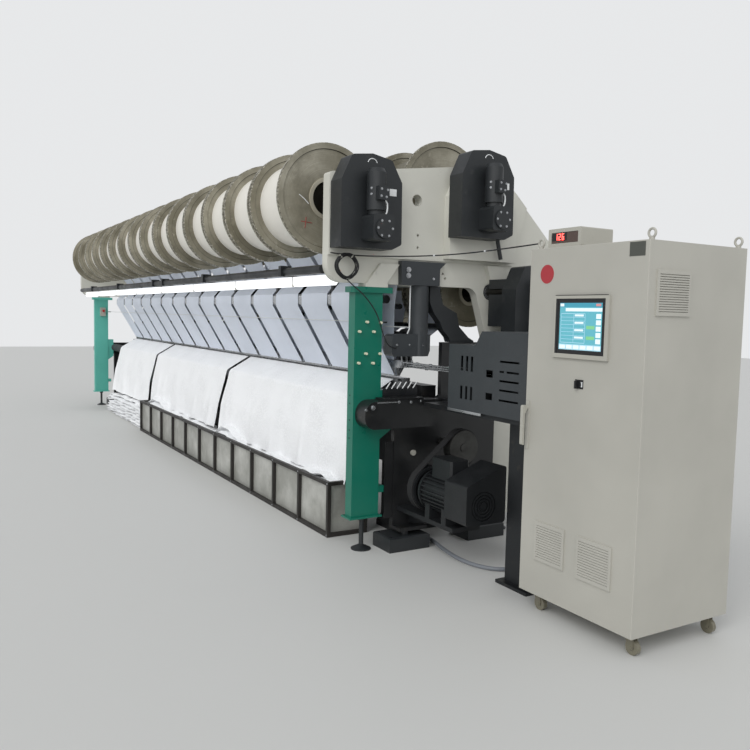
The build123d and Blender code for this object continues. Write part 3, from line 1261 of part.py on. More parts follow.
def caster(x, y):
    top = CABINET_Z0 - SMALL_CLEARANCE
    half = CASTER_WIDTH / 2 + SMALL_CLEARANCE
    crown = bar_z(top - 6, top, x, y, 26)
    crown += block(x - 20, x + CASTER_OFFSET + 12, y - half - 4, y + half + 4, top - 10, top - 6)
    wheel_x = x + CASTER_OFFSET
    cheek = ((x - 18, top - 10), (x + CASTER_OFFSET + 12, top - 10), (wheel_x + 12, CASTER_RADIUS - 10),
             (wheel_x - 12, CASTER_RADIUS - 10))
    fork = crown + plate_y(cheek, y - half - 4, y - half) + plate_y(cheek, y + half, y + half + 4)
    wheel = bar_y(y - CASTER_WIDTH / 2, y + CASTER_WIDTH / 2, wheel_x, CASTER_RADIUS, CASTER_RADIUS)
    axle = bar_y(y - half - 6, y + half + 6, wheel_x, CASTER_RADIUS, 6)
    return group((fork - axle, wheel - axle, axle))


def counter_box():
    x0, x1 = COUNTER_X0, COUNTER_X0 + COUNTER_WIDTH
    y0, y1 = COUNTER_Y0, COUNTER_Y0 + COUNTER_DEPTH
    z0, z1 = CABINET_Z1 + COUNTER_FOOT, CABINET_Z1 + COUNTER_FOOT + COUNTER_HEIGHT
    case = fillet(block(x0, x1, y0, y1, z0, z1).edges().filter_by(Axis.Y), 6)
    case -= block(x0 + 22, x1 - 22, y0 - 1, y0 + 5, z0 + 20, z1 - 20)
    for x in (x0 + 25, x1 - 25):
        for y in (y0 + 25, y1 - 25):
            case += bar_z(CABINET_Z1, z0, x, y, 10)
    return case


# Cords: straight runs joined by arcs as large as the runs allow
def corner_radii(route):
    radii = []
    for before, here, after in zip(route, route[1:], route[2:]):
        a, b = Vector(*here) - Vector(*before), Vector(*after) - Vector(*here)
        half_turn = radians(a.get_angle(b)) / 2
        radii.append(0.45 * min(a.length, b.length) / tan(half_turn))
    return radii


def cord(name, route, radius):
    radii = corner_radii(route)
    path = FilletPolyline(*route, radius=radii)
    section = Plane(path @ 0, z_dir=path % 0) * Circle(radius)
    tube = sweep(section, path=path, transition=Transition.RIGHT)
    share = tube.volume / (section.area * path.length)
    rounded = [round(radius) for radius in radii]
    print(name, "length", round(path.length), "volume share", round(share, 4), "radii", rounded)
    return tube


def cable_coil():
    return Pos(*COIL_CENTRE) * Rot(0, 90, 0) * Torus(COIL_RADIUS, COIL_TUBE_RADIUS)


def parts():
    front = (FRONT_AXIS, FLANGE_RADIUS, BARREL_RADIUS)
    rear = (REAR_AXIS, FLANGE_RADIUS, BARREL_RADIUS)
    lower = (LOWER_AXIS, LOWER_FLANGE_RADIUS, LOWER_BARREL_RADIUS)
    front_gear_x = FRONT_GUARD[0] + 40
    rear_gear_x = REAR_GUARD[0] + 40
    lower_gear_x = LOWER_GUARD[0] + 40
    frame = gantry_frame()
    column = front_column()
    model = {
        "near_front_column": group([column] + column_pins()),
        "far_front_column": to_far_end(column),
        "machine_feet": machine_feet(),
        "near_gantry_frame": frame,
        "far_gantry_frame": to_far_end(frame),
        "gantry_tie_beams": gantry_tie_beams(),
        "shaft_bearings": shaft_bearings(),
        "swing_brackets": swing_brackets(),
        "yarn_guide_rails": yarn_guide_rails(),
        "front_tension_rail": front_tension_rail(),
        "front_warp_beams": group(beam_row(*front, front_gear_x + LETOFF_GEAR_WIDTH, front_gear_x)),
        "front_yarn_packages": group(package_row(FRONT_AXIS, YARN_RADIUS, BARREL_RADIUS)),
        "rear_warp_beams": group(beam_row(*rear, rear_gear_x + LETOFF_GEAR_WIDTH, rear_gear_x)
                                 + package_row(REAR_AXIS, YARN_RADIUS, BARREL_RADIUS)),
        "lower_warp_beams": group(beam_row(*lower, lower_gear_x + LETOFF_GEAR_WIDTH, lower_gear_x)
                                  + package_row(LOWER_AXIS, LOWER_YARN_RADIUS, LOWER_BARREL_RADIUS)),
        "letoff_guards": letoff_guards(),
        "letoff_gearmotors": letoff_gearmotors(),
        "hanger_column": hanger_column(),
        "support_strut": support_strut(),
        "yarn_sheets": yarn_sheets(),
        "swing_levers": swing_levers(),
        "pattern_drives": pattern_drives(),
        "pattern_drive_cover": pattern_drive_cover(),
        "needle_bar": needle_bar(),
        "tongue_bar": tongue_bar(),
        "sinker_bar": sinker_bar(),
        "trick_plate": trick_plate(),
        "machine_bed": machine_bed(),
        "bed_end_walls": bed_end_walls(),
        "main_shaft": main_shaft(),
        "motor_pulley": motor_pulley(),
        "drive_belt": drive_belt(),
        "main_motor": main_motor(),
        "takeup_roller_front": takeup_roller(FRONT_ROLLER),
        "takeup_roller_rear": takeup_roller(REAR_ROLLER),
        "takeup_housing": takeup_housing(),
        "lamp_support_tube": lamp_support_tube(),
        "led_light_bar": led_light_bar(),
        "stop_button_box": stop_button_box(),
        "stop_button": stop_button(),
        "fabric_panels": fabric_panels(),
        "fabric_piles": fabric_piles(),
        "bin_frame": bin_frame(),
        "bin_panels": bin_panels(),
        "cabinet_body": cabinet_body(),
        "cabinet_door": cabinet_door(),
        "touch_screen": touch_screen(),
        "switch_knob": switch_knob(),
        "door_handle": door_handle(),
        "counter_box": counter_box(),
        "taut_cable": cord("taut_cable", TAUT_ROUTE, TAUT_RADIUS),
        "cable_coil": cable_coil(),
        "drop_cable": cord("drop_cable", DROP_ROUTE, DROP_RADIUS),
        "floor_conduit": cord("floor_conduit", CONDUIT_ROUTE, CONDUIT_RADIUS),
    }
    for name in GUIDE_BARS:
        model[name] = guide_bar(name)
    for name, (x, y) in CASTER_PLACES.items():
        model[name] = caster(x, y)
    return model


os.makedirs("parts", exist_ok=True)
for part_name, shape in parts().items():
    export_step(shape, f"parts/{part_name}.step")
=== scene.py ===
import math

import bmesh
import bpy
from mathutils import Matrix, Vector, noise


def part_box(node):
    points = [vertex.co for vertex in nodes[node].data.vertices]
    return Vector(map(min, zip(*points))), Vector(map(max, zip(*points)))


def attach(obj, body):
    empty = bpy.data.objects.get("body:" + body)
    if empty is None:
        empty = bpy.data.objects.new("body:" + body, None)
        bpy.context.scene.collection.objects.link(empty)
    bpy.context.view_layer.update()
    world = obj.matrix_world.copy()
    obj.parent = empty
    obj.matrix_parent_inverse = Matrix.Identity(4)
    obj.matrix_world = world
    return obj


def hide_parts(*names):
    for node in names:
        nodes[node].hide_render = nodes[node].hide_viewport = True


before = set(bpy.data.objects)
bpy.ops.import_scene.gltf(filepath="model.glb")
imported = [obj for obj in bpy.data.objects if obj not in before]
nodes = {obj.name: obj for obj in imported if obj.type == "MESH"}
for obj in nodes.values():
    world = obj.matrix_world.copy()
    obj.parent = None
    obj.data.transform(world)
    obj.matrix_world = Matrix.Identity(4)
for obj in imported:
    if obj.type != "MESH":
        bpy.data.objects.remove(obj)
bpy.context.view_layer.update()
print("frame loaded")


# Helpers for objects and nodes
def linked(name, data):
    thing = bpy.data.objects.new(name, data)
    bpy.context.scene.collection.objects.link(thing)
    return thing


def setInputs(tree, node, inputs):
    for key, value in inputs.items():
        if isinstance(value, bpy.types.NodeSocket):
            tree.links.new(value, node.inputs[key])
        else:
            node.inputs[key].default_value = value


def nodeOf(tree, kind, inputs, **settings):
    node = tree.nodes.new(kind)
    for key, value in settings.items():
        setattr(node, key, value)
    setInputs(tree, node, inputs)
    return node


def newMaterial(name, roughness=0.5, metallic=0.0, specular=0.5):
    material = bpy.data.materials.new(name)
    material.use_nodes = True
    tree = material.node_tree
    shader = tree.nodes["Principled BSDF"]
    setInputs(tree, shader, {"Roughness": roughness, "Metallic": metallic, "Specular IOR Level": specular})
    return material, tree, shader


# Camera, floor and light
view = {
    "place": (4.555, -2.602, 1.627), "yaw": 59.4685, "pitch": 4.4923, "roll": 1.2611,
    "lens": 36.9, "sensor": 36.0, "farClip": 80.0,
}


def placeCamera():
    turns = (("Z", view["yaw"]), ("X", 90 - view["pitch"]), ("Z", view["roll"]))
    yaw, tilt, roll = (Matrix.Rotation(math.radians(angle), 4, axis) for axis, angle in turns)
    lens = bpy.data.cameras.new("camera")
    lens.lens = view["lens"]
    lens.sensor_width = view["sensor"]
    lens.clip_end = view["farClip"]
    camera = linked("camera", lens)
    camera.matrix_world = Matrix.Translation(view["place"]) @ yaw @ tilt @ roll
    bpy.context.scene.camera = camera
    bpy.context.scene.view_settings.view_transform = "Standard"


studio = {
    "worldColour": (0.95, 0.97, 1.0), "worldLevel": 0.62, "backdrop": (0.8, 0.81, 0.82),
    "floorSize": 60.0, "floorColour": (0.62, 0.62, 0.6), "floorRoughness": 0.6,
    "suns": {"keyLight": ((-0.35, 0.7, -0.62), 1.15, 35.0), "fillLight": ((-0.85, 0.35, -0.4), 0.55, 60.0)},
}


def lightStudio():
    world = bpy.data.worlds.new("studio")
    bpy.context.scene.world = world
    world.use_nodes = True
    tree = world.node_tree
    light = tree.nodes["Background"]
    setInputs(tree, light, {"Color": (*studio["worldColour"], 1), "Strength": studio["worldLevel"]})
    shown = nodeOf(tree, "ShaderNodeBackground", {"Color": (*studio["backdrop"], 1)})
    ray = nodeOf(tree, "ShaderNodeLightPath", {})
    parts = {0: ray.outputs["Is Camera Ray"], 1: light.outputs[0], 2: shown.outputs[0]}
    mix = nodeOf(tree, "ShaderNodeMixShader", parts)
    setInputs(tree, tree.nodes["World Output"], {"Surface": mix.outputs[0]})
    for name, (aim, strength, angle) in studio["suns"].items():
        sun = bpy.data.lights.new(name, "SUN")
        sun.energy = strength
        sun.angle = math.radians(angle)
        linked(name, sun).rotation_euler = Vector(aim).to_track_quat("-Z", "Y").to_euler()


def layFloor():
    half = studio["floorSize"] / 2
    mesh = bpy.data.meshes.new("studioFloor")
    corners = [(-half, -half, 0), (half, -half, 0), (half, half, 0), (-half, half, 0)]
    mesh.from_pydata(corners, [], [(0, 1, 2, 3)])
    material, tree, shader = newMaterial("paleFloor", studio["floorRoughness"])
    setInputs(tree, shader, {"Base Color": (*studio["floorColour"], 1)})
    mesh.materials.append(material)
    linked("studioFloor", mesh)


placeCamera()
lightStudio()
layFloor()
print("studio ready")


# Material helpers
def shade(red, green, blue):
    def linear(value):
        value /= 255
        return value / 12.92 if value <= 0.04045 else ((value + 0.055) / 1.055) ** 2.4
    return (linear(red), linear(green), linear(blue))


def scaled(colour, factor):
    return tuple(min(part * factor, 1.0) for part in colour)


def coordinates(tree, scale=(1, 1, 1), place=(0, 0, 0), source="Object"):
    texture = nodeOf(tree, "ShaderNodeTexCoord", {})
    inputs = {"Vector": texture.outputs[source], "Scale": scale, "Location": place}
    return nodeOf(tree, "ShaderNodeMapping", inputs, vector_type="POINT").outputs["Vector"]


def noiseOf(tree, scale, detail=4.0, rough=0.55, stretch=(1, 1, 1), source="Object"):
    where = coordinates(tree, stretch, source=source)
    inputs = {"Vector": where, "Scale": scale, "Detail": detail, "Roughness": rough}
    return nodeOf(tree, "ShaderNodeTexNoise", inputs).outputs["Fac"]


def linesOf(tree, distance, scale, detail):
    inputs = {"W": distance, "Scale": scale, "Detail": detail}
    return nodeOf(tree, "ShaderNodeTexNoise", inputs, noise_dimensions="1D").outputs["Fac"]


def rangeOf(tree, value, low, high, newLow=0.0, newHigh=1.0):
    inputs = {"Value": value, "From Min": low, "From Max": high, "To Min": newLow, "To Max": newHigh}
    return nodeOf(tree, "ShaderNodeMapRange", inputs).outputs["Result"]


def mathOf(tree, operation, first, second=0.0):
    return nodeOf(tree, "ShaderNodeMath", {0: first, 1: second}, operation=operation).outputs[0]


def blendOf(tree, share, first, second):
    first, second = ((*value, 1) if isinstance(value, tuple) else value for value in (first, second))
    return nodeOf(tree, "ShaderNodeMix", {0: share, 6: first, 7: second}, data_type="RGBA").outputs[2]


def bumpOf(tree, shader, height, strength, distance):
    bump = nodeOf(tree, "ShaderNodeBump", {"Strength": strength, "Distance": distance, "Height": height})
    setInputs(tree, shader, {"Normal": bump.outputs["Normal"]})


# Paint with soft colour change, dirt in patches and runs, and a grain
def paint(name, colour, roughness, dirt, dirtShare, dirtScale, grain, grainHeight, metallic=0.0, specular=0.5,
          runs=0.0):
    material, tree, shader = newMaterial(name, roughness, metallic, specular)
    colour = shade(*colour)
    tone = rangeOf(tree, noiseOf(tree, 1.7, 3.0), 0.3, 0.7)
    surface = blendOf(tree, tone, scaled(colour, 0.93), scaled(colour, 1.05))
    if dirt:
        patch = rangeOf(tree, noiseOf(tree, dirtScale, 9.0, 0.68), 1.0 - dirtShare - 0.25, 0.98)
        surface = blendOf(tree, patch, surface, shade(*dirt))
    if runs:
        streak = rangeOf(tree, noiseOf(tree, 7.0, 6.0, 0.65, (1.0, 1.0, 0.22)), 0.8 - runs, 0.92)
        surface = blendOf(tree, streak, surface, shade(*dirt))
    smooth, rough = max(roughness - 0.08, 0.05), min(roughness + 0.12, 1.0)
    gloss = rangeOf(tree, noiseOf(tree, 8.0, 5.0), 0.3, 0.7, smooth, rough)
    setInputs(tree, shader, {"Base Color": surface, "Roughness": gloss})
    bumpOf(tree, shader, noiseOf(tree, grain, 2.0), 0.35, grainHeight)
    return material


# Turned metal about the beams' own axis: fine rings, smudges, a dark line painted as the shade in a groove
# inside the rim, worn edge, near black painted as the shade in the bore
def turnedMetal(name, axis, bore, lip, groove, edge):
    material, tree, shader = newMaterial(name, 0.42, 0.55)
    light, dark = shade(206, 201, 185), shade(132, 127, 110)
    place = coordinates(tree, (0, 1, 1), (0, -axis[0], -axis[1]))
    radius = nodeOf(tree, "ShaderNodeVectorMath", {0: place}, operation="LENGTH").outputs["Value"]
    rings = linesOf(tree, radius, 170.0, 3.0)
    surface = blendOf(tree, rangeOf(tree, rings, 0.2, 0.8, 0.3, 0.62), dark, light)
    cloud = rangeOf(tree, noiseOf(tree, 2.6, 5.0, 0.6), 0.38, 0.66)
    surface = blendOf(tree, cloud, scaled(dark, 0.9), surface)
    stain = rangeOf(tree, noiseOf(tree, 4.0, 8.0, 0.66), 0.5, 0.8)
    surface = blendOf(tree, stain, surface, scaled(dark, 0.72))
    bright = rangeOf(tree, noiseOf(tree, 9.0, 8.0, 0.7), 0.6, 0.84)
    surface = blendOf(tree, bright, surface, scaled(light, 1.25))
    # Painted shade: a very dark line at the groove's radius stands in for the shade inside the groove
    away = mathOf(tree, "ABSOLUTE", mathOf(tree, "SUBTRACT", radius, groove))
    surface = blendOf(tree, rangeOf(tree, away, 0.0012, 0.003, 1.0, 0.0), surface, scaled(dark, 0.25))
    surface = blendOf(tree, rangeOf(tree, radius, lip, lip + 0.003, 0.7, 0.0), surface, scaled(light, 1.1))
    nick = rangeOf(tree, noiseOf(tree, 55.0, 6.0, 0.7), 0.47, 0.6)
    worn = blendOf(tree, nick, scaled(dark, 0.72), scaled(light, 0.92))
    surface = blendOf(tree, rangeOf(tree, radius, edge, edge + 0.002), surface, worn)
    # Painted shade: near black inside the bore stands in for the shade in the hollow hub
    surface = blendOf(tree, rangeOf(tree, radius, bore - 0.003, bore, 1.0, 0.0), surface, scaled(dark, 0.06))
    gloss = rangeOf(tree, noiseOf(tree, 14.0, 6.0), 0.3, 0.7, 0.36, 0.6)
    setInputs(tree, shader, {"Base Color": surface, "Roughness": gloss})
    bumpOf(tree, shader, rings, 0.25, 0.0005)
    return material


# Yarn wound side by side: fine lines across the beam's length and soft bands round the package
def woundYarn(name, colour):
    material, tree, shader = newMaterial(name, 0.5, 0.0, 0.4)
    split = nodeOf(tree, "ShaderNodeSeparateXYZ", {0: coordinates(tree)})
    lines = linesOf(tree, split.outputs["X"], 420.0, 2.0)
    surface = blendOf(tree, lines, scaled(colour, 0.88), colour)
    band = rangeOf(tree, noiseOf(tree, 3.0, 3.0, 0.5, (6, 1, 1)), 0.35, 0.65)
    surface = blendOf(tree, band, scaled(colour, 0.93), surface)
    setInputs(tree, shader, {"Base Color": surface, "Sheen Weight": 0.3})
    bumpOf(tree, shader, lines, 0.5, 0.001)
    return material


# Knitted cloth: small puckered cells over a fine mesh, on the piece's own map in metres
def knittedCloth(name, colour):
    material, tree, shader = newMaterial(name, 0.8, 0.0, 0.25)
    cloth = coordinates(tree, (50.0, 74.0, 1.0), source="UV")
    cells = nodeOf(tree, "ShaderNodeTexVoronoi", {"Vector": cloth, "Scale": 1.0})
    marks = rangeOf(tree, cells.outputs["Distance"], 0.22, 0.62)
    where = rangeOf(tree, noiseOf(tree, 3.0, 3.0, 0.5, source="UV"), 0.4, 0.62, 0.25, 1.0)
    marks = mathOf(tree, "MULTIPLY", marks, where)
    fine = noiseOf(tree, 900.0, 2.0, 0.5, (1.0, 0.4, 1.0), "UV")
    soft = noiseOf(tree, 2.2, 4.0, 0.5, source="UV")
    surface = blendOf(tree, marks, colour, scaled(colour, 0.87))
    surface = blendOf(tree, rangeOf(tree, soft, 0.35, 0.7), surface, scaled(colour, 0.95))
    setInputs(tree, shader, {"Base Color": surface, "Sheen Weight": 0.35})
    height = mathOf(tree, "SUBTRACT", mathOf(tree, "MULTIPLY", fine, 0.35), marks)
    bumpOf(tree, shader, height, 0.55, 0.0035)
    return material


# Thin dusty sheet in the bin's bays: pale blotches, vertical smears, darker towards the foot, and soft dents
def dustySheet(name, colour, pale):
    material, tree, shader = newMaterial(name, 0.34, 0.0, 0.5)
    blotch = rangeOf(tree, noiseOf(tree, 3.4, 7.0, 0.62), 0.4, 0.68)
    surface = blendOf(tree, blotch, colour, pale)
    smear = rangeOf(tree, noiseOf(tree, 14.0, 5.0, 0.6, (1.0, 1.0, 0.18)), 0.55, 0.78)
    surface = blendOf(tree, smear, surface, scaled(colour, 0.82))
    low = nodeOf(tree, "ShaderNodeSeparateXYZ", {0: coordinates(tree)})
    # Darker towards the foot of the sheet, near the floor
    foot = rangeOf(tree, low.outputs["Z"], 0.03, 0.13, 0.45, 0.0)
    surface = blendOf(tree, foot, surface, scaled(colour, 0.55))
    setInputs(tree, shader, {"Base Color": surface})
    bumpOf(tree, shader, noiseOf(tree, 11.0, 4.0, 0.5), 0.5, 0.012)
    return material


def glow(name, colour, strength):
    material, tree, shader = newMaterial(name, 0.4)
    change = rangeOf(tree, noiseOf(tree, 30.0, 2.0), 0.3, 0.7)
    tinted = blendOf(tree, change, scaled(colour, 0.92), colour)
    inputs = {"Base Color": (*colour, 1), "Emission Color": tinted, "Emission Strength": strength}
    setInputs(tree, shader, inputs)
    return material


# Paints: colour, roughness, dirt with its share and scale, grain scale and height, metallic, specular, runs
dust = (120, 112, 98)
paints = {
    "teal": ((14, 112, 92), 0.34, dust, 0.1, 5.0, 260.0, 0.0004, 0.0, 0.55),
    # The far column's teal: the same paint as the near column, painted paler for the haze and light on it
    "hazeLitTeal": ((96, 190, 174), 0.38, dust, 0.1, 5.0, 260.0, 0.0004),
    "gantry": ((208, 207, 197), 0.55, (74, 68, 58), 0.1, 4.5, 210.0, 0.0012, 0.0, 0.5, 0.06),
    "cabinet": ((178, 176, 167), 0.5, dust, 0.06, 3.0, 700.0, 0.0003),
    "black": ((38, 41, 43), 0.42, (84, 84, 82), 0.14, 7.0, 320.0, 0.0005),
    "motor": ((25, 27, 29), 0.45, (66, 66, 64), 0.12, 7.0, 240.0, 0.0006),
    "cover": ((55, 59, 62), 0.46, (92, 92, 90), 0.12, 6.0, 500.0, 0.0004),
    "darkSteel": ((44, 46, 48), 0.38, (96, 88, 76), 0.15, 9.0, 200.0, 0.0005, 0.5),
    "brightSteel": ((186, 188, 190), 0.26, (92, 88, 82), 0.11, 10.0, 300.0, 0.0003, 0.85),
    "oilySteel": ((70, 70, 68), 0.34, (30, 28, 26), 0.28, 8.0, 200.0, 0.0005, 0.7),
    "oily": ((27, 28, 29), 0.36, (58, 53, 46), 0.18, 6.0, 160.0, 0.001),
    "plastic": ((30, 30, 32), 0.4, (70, 70, 68), 0.08, 8.0, 500.0, 0.0003),
    "greyPlastic": ((178, 176, 166), 0.5, dust, 0.1, 8.0, 500.0, 0.0003),
    "cream": ((226, 222, 196), 0.42, dust, 0.06, 30.0, 500.0, 0.0002),
    "red": ((190, 28, 30), 0.32, (90, 20, 20), 0.08, 8.0, 300.0, 0.0002),
    "signRed": ((172, 52, 60), 0.5, (120, 50, 52), 0.08, 20.0, 500.0, 0.0001),
    "chalkRed": ((150, 58, 52), 0.7, (110, 84, 74), 0.3, 60.0, 500.0, 0.0001),
    "binFrame": ((40, 37, 34), 0.5, (78, 72, 64), 0.1, 8.0, 300.0, 0.0005),
    "rubber": ((34, 34, 35), 0.78, (76, 74, 70), 0.18, 12.0, 500.0, 0.0005),
    "rollerCover": ((58, 60, 62), 0.7, (110, 108, 104), 0.15, 14.0, 800.0, 0.0008),
    "board": ((88, 72, 66), 0.6, (54, 44, 40), 0.2, 8.0, 300.0, 0.0006),
    "plateDark": ((78, 80, 74), 0.55, (112, 112, 104), 0.16, 40.0, 400.0, 0.0003),
    "whitePaint": ((226, 228, 228), 0.5, dust, 0.06, 8.0, 400.0, 0.0002),
    "lens": ((120, 116, 100), 0.25, (60, 56, 48), 0.2, 20.0, 300.0, 0.0004),
    "cable": ((26, 26, 28), 0.48, (60, 58, 56), 0.12, 20.0, 600.0, 0.0002),
    "conduit": ((128, 132, 138), 0.5, dust, 0.14, 15.0, 500.0, 0.0002),
    "thread": ((226, 232, 243), 0.6, None, 0.0, 0.0, 900.0, 0.0001),
}
glows = {
    "lamp": ((0.97, 0.985, 1.0), 0.95),
    "screenField": (shade(96, 176, 190), 0.3),
    "screenDeep": (shade(66, 150, 172), 0.3),
    "screenPale": (shade(160, 204, 220), 0.35),
    "screenWhite": (shade(222, 236, 242), 0.4),
    "screenGreen": (shade(128, 200, 140), 0.3),
    "screenRed": (shade(210, 140, 140), 0.3),
    "digit": (shade(255, 92, 84), 3.0),
}
finishes = {
    "frontBeam": turnedMetal("frontBeamMetal", (-0.19, 2.408), 0.118, 0.142, 0.334, 0.3705),
    "rearBeam": turnedMetal("rearBeamMetal", (0.775, 2.54), 0.118, 0.142, 0.334, 0.3705),
    "lowerBeam": turnedMetal("lowerBeamMetal", (1.04, 1.812), 0.076, 0.1, 0.224, 0.2605),
    "woundYarn": woundYarn("woundYarn", shade(242, 238, 228)),
    "cloth": knittedCloth("knittedCloth", shade(250, 251, 252)),
    "binSheet": dustySheet("binSheet", shade(150, 150, 143), shade(190, 190, 184)),
}
finishes.update({key: paint(key, *row) for key, row in paints.items()})
finishes.update({key: glow(key, *row) for key, row in glows.items()})

nodeFinishes = {
    "teal": "near_front_column", "hazeLitTeal": "far_front_column", "oilySteel": "main_shaft",
    "gantry": "near_gantry_frame far_gantry_frame gantry_tie_beams", "motor": "main_motor",
    "black": "machine_feet letoff_guards letoff_gearmotors support_strut",
    "cover": "hanger_column pattern_drive_cover",
    "darkSteel": "swing_brackets yarn_guide_rails swing_levers pattern_drives motor_pulley lamp_support_tube",
    "brightSteel": "shaft_bearings front_tension_rail needle_bar tongue_bar sinker_bar trick_plate "
                   "guide_bar_front guide_bar_middle guide_bar_rear",
    "frontBeam": "front_warp_beams", "rearBeam": "rear_warp_beams", "lowerBeam": "lower_warp_beams",
    "woundYarn": "front_yarn_packages", "oily": "machine_bed bed_end_walls takeup_housing",
    "rubber": "drive_belt", "rollerCover": "takeup_roller_front takeup_roller_rear",
    "lamp": "led_light_bar", "red": "stop_button",
    "binFrame": "bin_frame", "binSheet": "bin_panels", "cabinet": "cabinet_body cabinet_door",
    "plastic": "touch_screen switch_knob", "greyPlastic": "stop_button_box door_handle counter_box",
    "lens": "caster_front_left caster_front_right caster_rear_left caster_rear_right",
}


def paintNodes():
    for finish, names in nodeFinishes.items():
        for name in names.split():
            mesh = nodes[name].data
            mesh.materials.clear()
            mesh.materials.append(finishes[finish])


paintNodes()
print("node finishes assigned")


# Mesh helpers
def toObject(name, build, finish, smoothAngle=35.0):
    mesh = bpy.data.meshes.new(name)
    bmesh.ops.remove_doubles(build, verts=build.verts, dist=1e-6)
    bmesh.ops.recalc_face_normals(build, faces=build.faces)
    limit = math.radians(smoothAngle)
    for edge in build.edges:
        edge.smooth = len(edge.link_faces) == 2 and edge.calc_face_angle(0.0) < limit
    for face in build.faces:
        face.smooth = True
    build.to_mesh(mesh)
    build.free()
    mesh.materials.append(finishes[finish])
    return linked(name, mesh)


def settle(piece, body, slot, *replaced):
    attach(piece, body)
    if replaced:
        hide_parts(*replaced)
    return piece


def addBox(build, low, high, bevel=0.0):
    corners = [(x, y, z) for x in (low[0], high[0]) for y in (low[1], high[1]) for z in (low[2], high[2])]
    verts = [build.verts.new(corner) for corner in corners]
    faces = [build.faces.new([verts[i] for i in quad]) for quad in
             ((0, 1, 3, 2), (4, 6, 7, 5), (0, 4, 5, 1), (2, 3, 7, 6), (0, 2, 6, 4), (1, 5, 7, 3))]
    if bevel:
        edges = list({edge for face in faces for edge in face.edges})
        bmesh.ops.bevel(build, geom=edges, offset=bevel, segments=2, affect="EDGES", profile=0.6)


def ringAt(build, centre, along, across, radius, sides):
    other = along.cross(across)
    turns = [2 * math.pi * k / sides for k in range(sides)]
    spokes = [across * math.cos(turn) + other * math.sin(turn) for turn in turns]
    return [build.verts.new(centre + spoke * radius) for spoke in spokes]


# Faces between one ring of corners and the next, with both ends closed
def addSkin(build, rings):
    for low, high in zip(rings, rings[1:]):
        for k in range(len(low)):
            after = (k + 1) % len(low)
            build.faces.new((low[k], low[after], high[after], high[k]))
    build.faces.new(rings[0][::-1])
    build.faces.new(rings[-1])


def addRod(build, start, end, radius, sides=16, endRadius=None):
    start, end = Vector(start), Vector(end)
    along = (end - start).normalized()
    across = along.orthogonal().normalized()
    endRadius = radius if endRadius is None else endRadius
    places = ((start, radius), (end, endRadius))
    addSkin(build, [ringAt(build, centre, along, across, size, sides) for centre, size in places])


def alongAt(points, k):
    return (points[min(k + 1, len(points) - 1)] - points[max(k - 1, 0)]).normalized()


def addTube(build, points, radius, sides=10):
    points = [Vector(point) for point in points]
    lean = Vector((1.0, 0.13, 0.07))  # off every direction that a tube follows
    rings = []
    for k, point in enumerate(points):
        along = alongAt(points, k)
        across = along.cross(lean).normalized()
        rings.append(ringAt(build, point, along, across, radius, sides))
    addSkin(build, rings)


# Washer and hexagon head of a bolt, as shares of its size: start, end, radius, sides
boltShares = ((0.0, 0.16, 0.72, 16), (0.15, 0.62, 0.52, 6))


def addBolt(build, place, facing, size):
    place, along = Vector(place), Vector(facing) * size
    for start, end, radius, sides in boltShares:
        addRod(build, place + along * start, place + along * end, size * radius, sides)


# The point of a circle about X at a turn
def around(centre, radius, turn):
    return Vector(centre) + Vector((0, math.cos(turn), math.sin(turn))) * radius


# Geometry Nodes: trees that start from named inputs and end in one finish
def newTree(name, *inputs):
    tree = bpy.data.node_groups.new(name, "GeometryNodeTree")
    for label, kind in inputs:
        tree.interface.new_socket(label, in_out="INPUT", socket_type=f"NodeSocket{kind}")
    tree.interface.new_socket("Pieces", in_out="OUTPUT", socket_type="NodeSocketGeometry")
    return tree, tree.nodes.new("NodeGroupInput").outputs


def endTree(tree, pieces, finish):
    painted = nodeOf(tree, "GeometryNodeSetMaterial", {"Geometry": pieces, "Material": finish})
    nodeOf(tree, "NodeGroupOutput", {"Pieces": painted.outputs["Geometry"]})
    return tree


# A piece repeated along one step and again along a second one
def makeRepeatTree():
    tree, given = newTree("repeatPiece", ("Piece", "Geometry"), ("Count", "Int"), ("Step", "Vector"),
                          ("Rows", "Int"), ("Row Step", "Vector"), ("Finish", "Material"))
    piece = given["Piece"]
    for count, step in (("Count", "Step"), ("Rows", "Row Step")):
        inputs = {"Count": given[count], "Offset": given[step]}
        line = nodeOf(tree, "GeometryNodeMeshLine", inputs, mode="OFFSET")
        inputs = {"Points": line.outputs["Mesh"], "Instance": piece}
        place = nodeOf(tree, "GeometryNodeInstanceOnPoints", inputs)
        piece = place.outputs["Instances"]
    whole = nodeOf(tree, "GeometryNodeRealizeInstances", {"Geometry": piece})
    return endTree(tree, whole.outputs["Geometry"], given["Finish"])


# A piece modelled about the origin, turned in equal steps about X and moved to its centre
def makeRingTree():
    tree, given = newTree("ringOfPieces", ("Piece", "Geometry"), ("Count", "Int"), ("Centre", "Vector"),
                          ("Finish", "Material"))
    line = nodeOf(tree, "GeometryNodeMeshLine", {"Count": given["Count"], "Offset": (0, 0, 0)}, mode="OFFSET")
    index = nodeOf(tree, "GeometryNodeInputIndex", {}).outputs[0]
    turn = mathOf(tree, "MULTIPLY", mathOf(tree, "DIVIDE", index, given["Count"]), 2 * math.pi)
    about = nodeOf(tree, "ShaderNodeCombineXYZ", {"X": turn}).outputs[0]
    inputs = {"Points": line.outputs["Mesh"], "Instance": given["Piece"], "Rotation": about}
    place = nodeOf(tree, "GeometryNodeInstanceOnPoints", inputs)
    whole = nodeOf(tree, "GeometryNodeRealizeInstances", {"Geometry": place.outputs["Instances"]})
    inputs = {"Geometry": whole.outputs["Geometry"], "Translation": given["Centre"]}
    move = nodeOf(tree, "GeometryNodeTransform", inputs)
    return endTree(tree, move.outputs["Geometry"], given["Finish"])


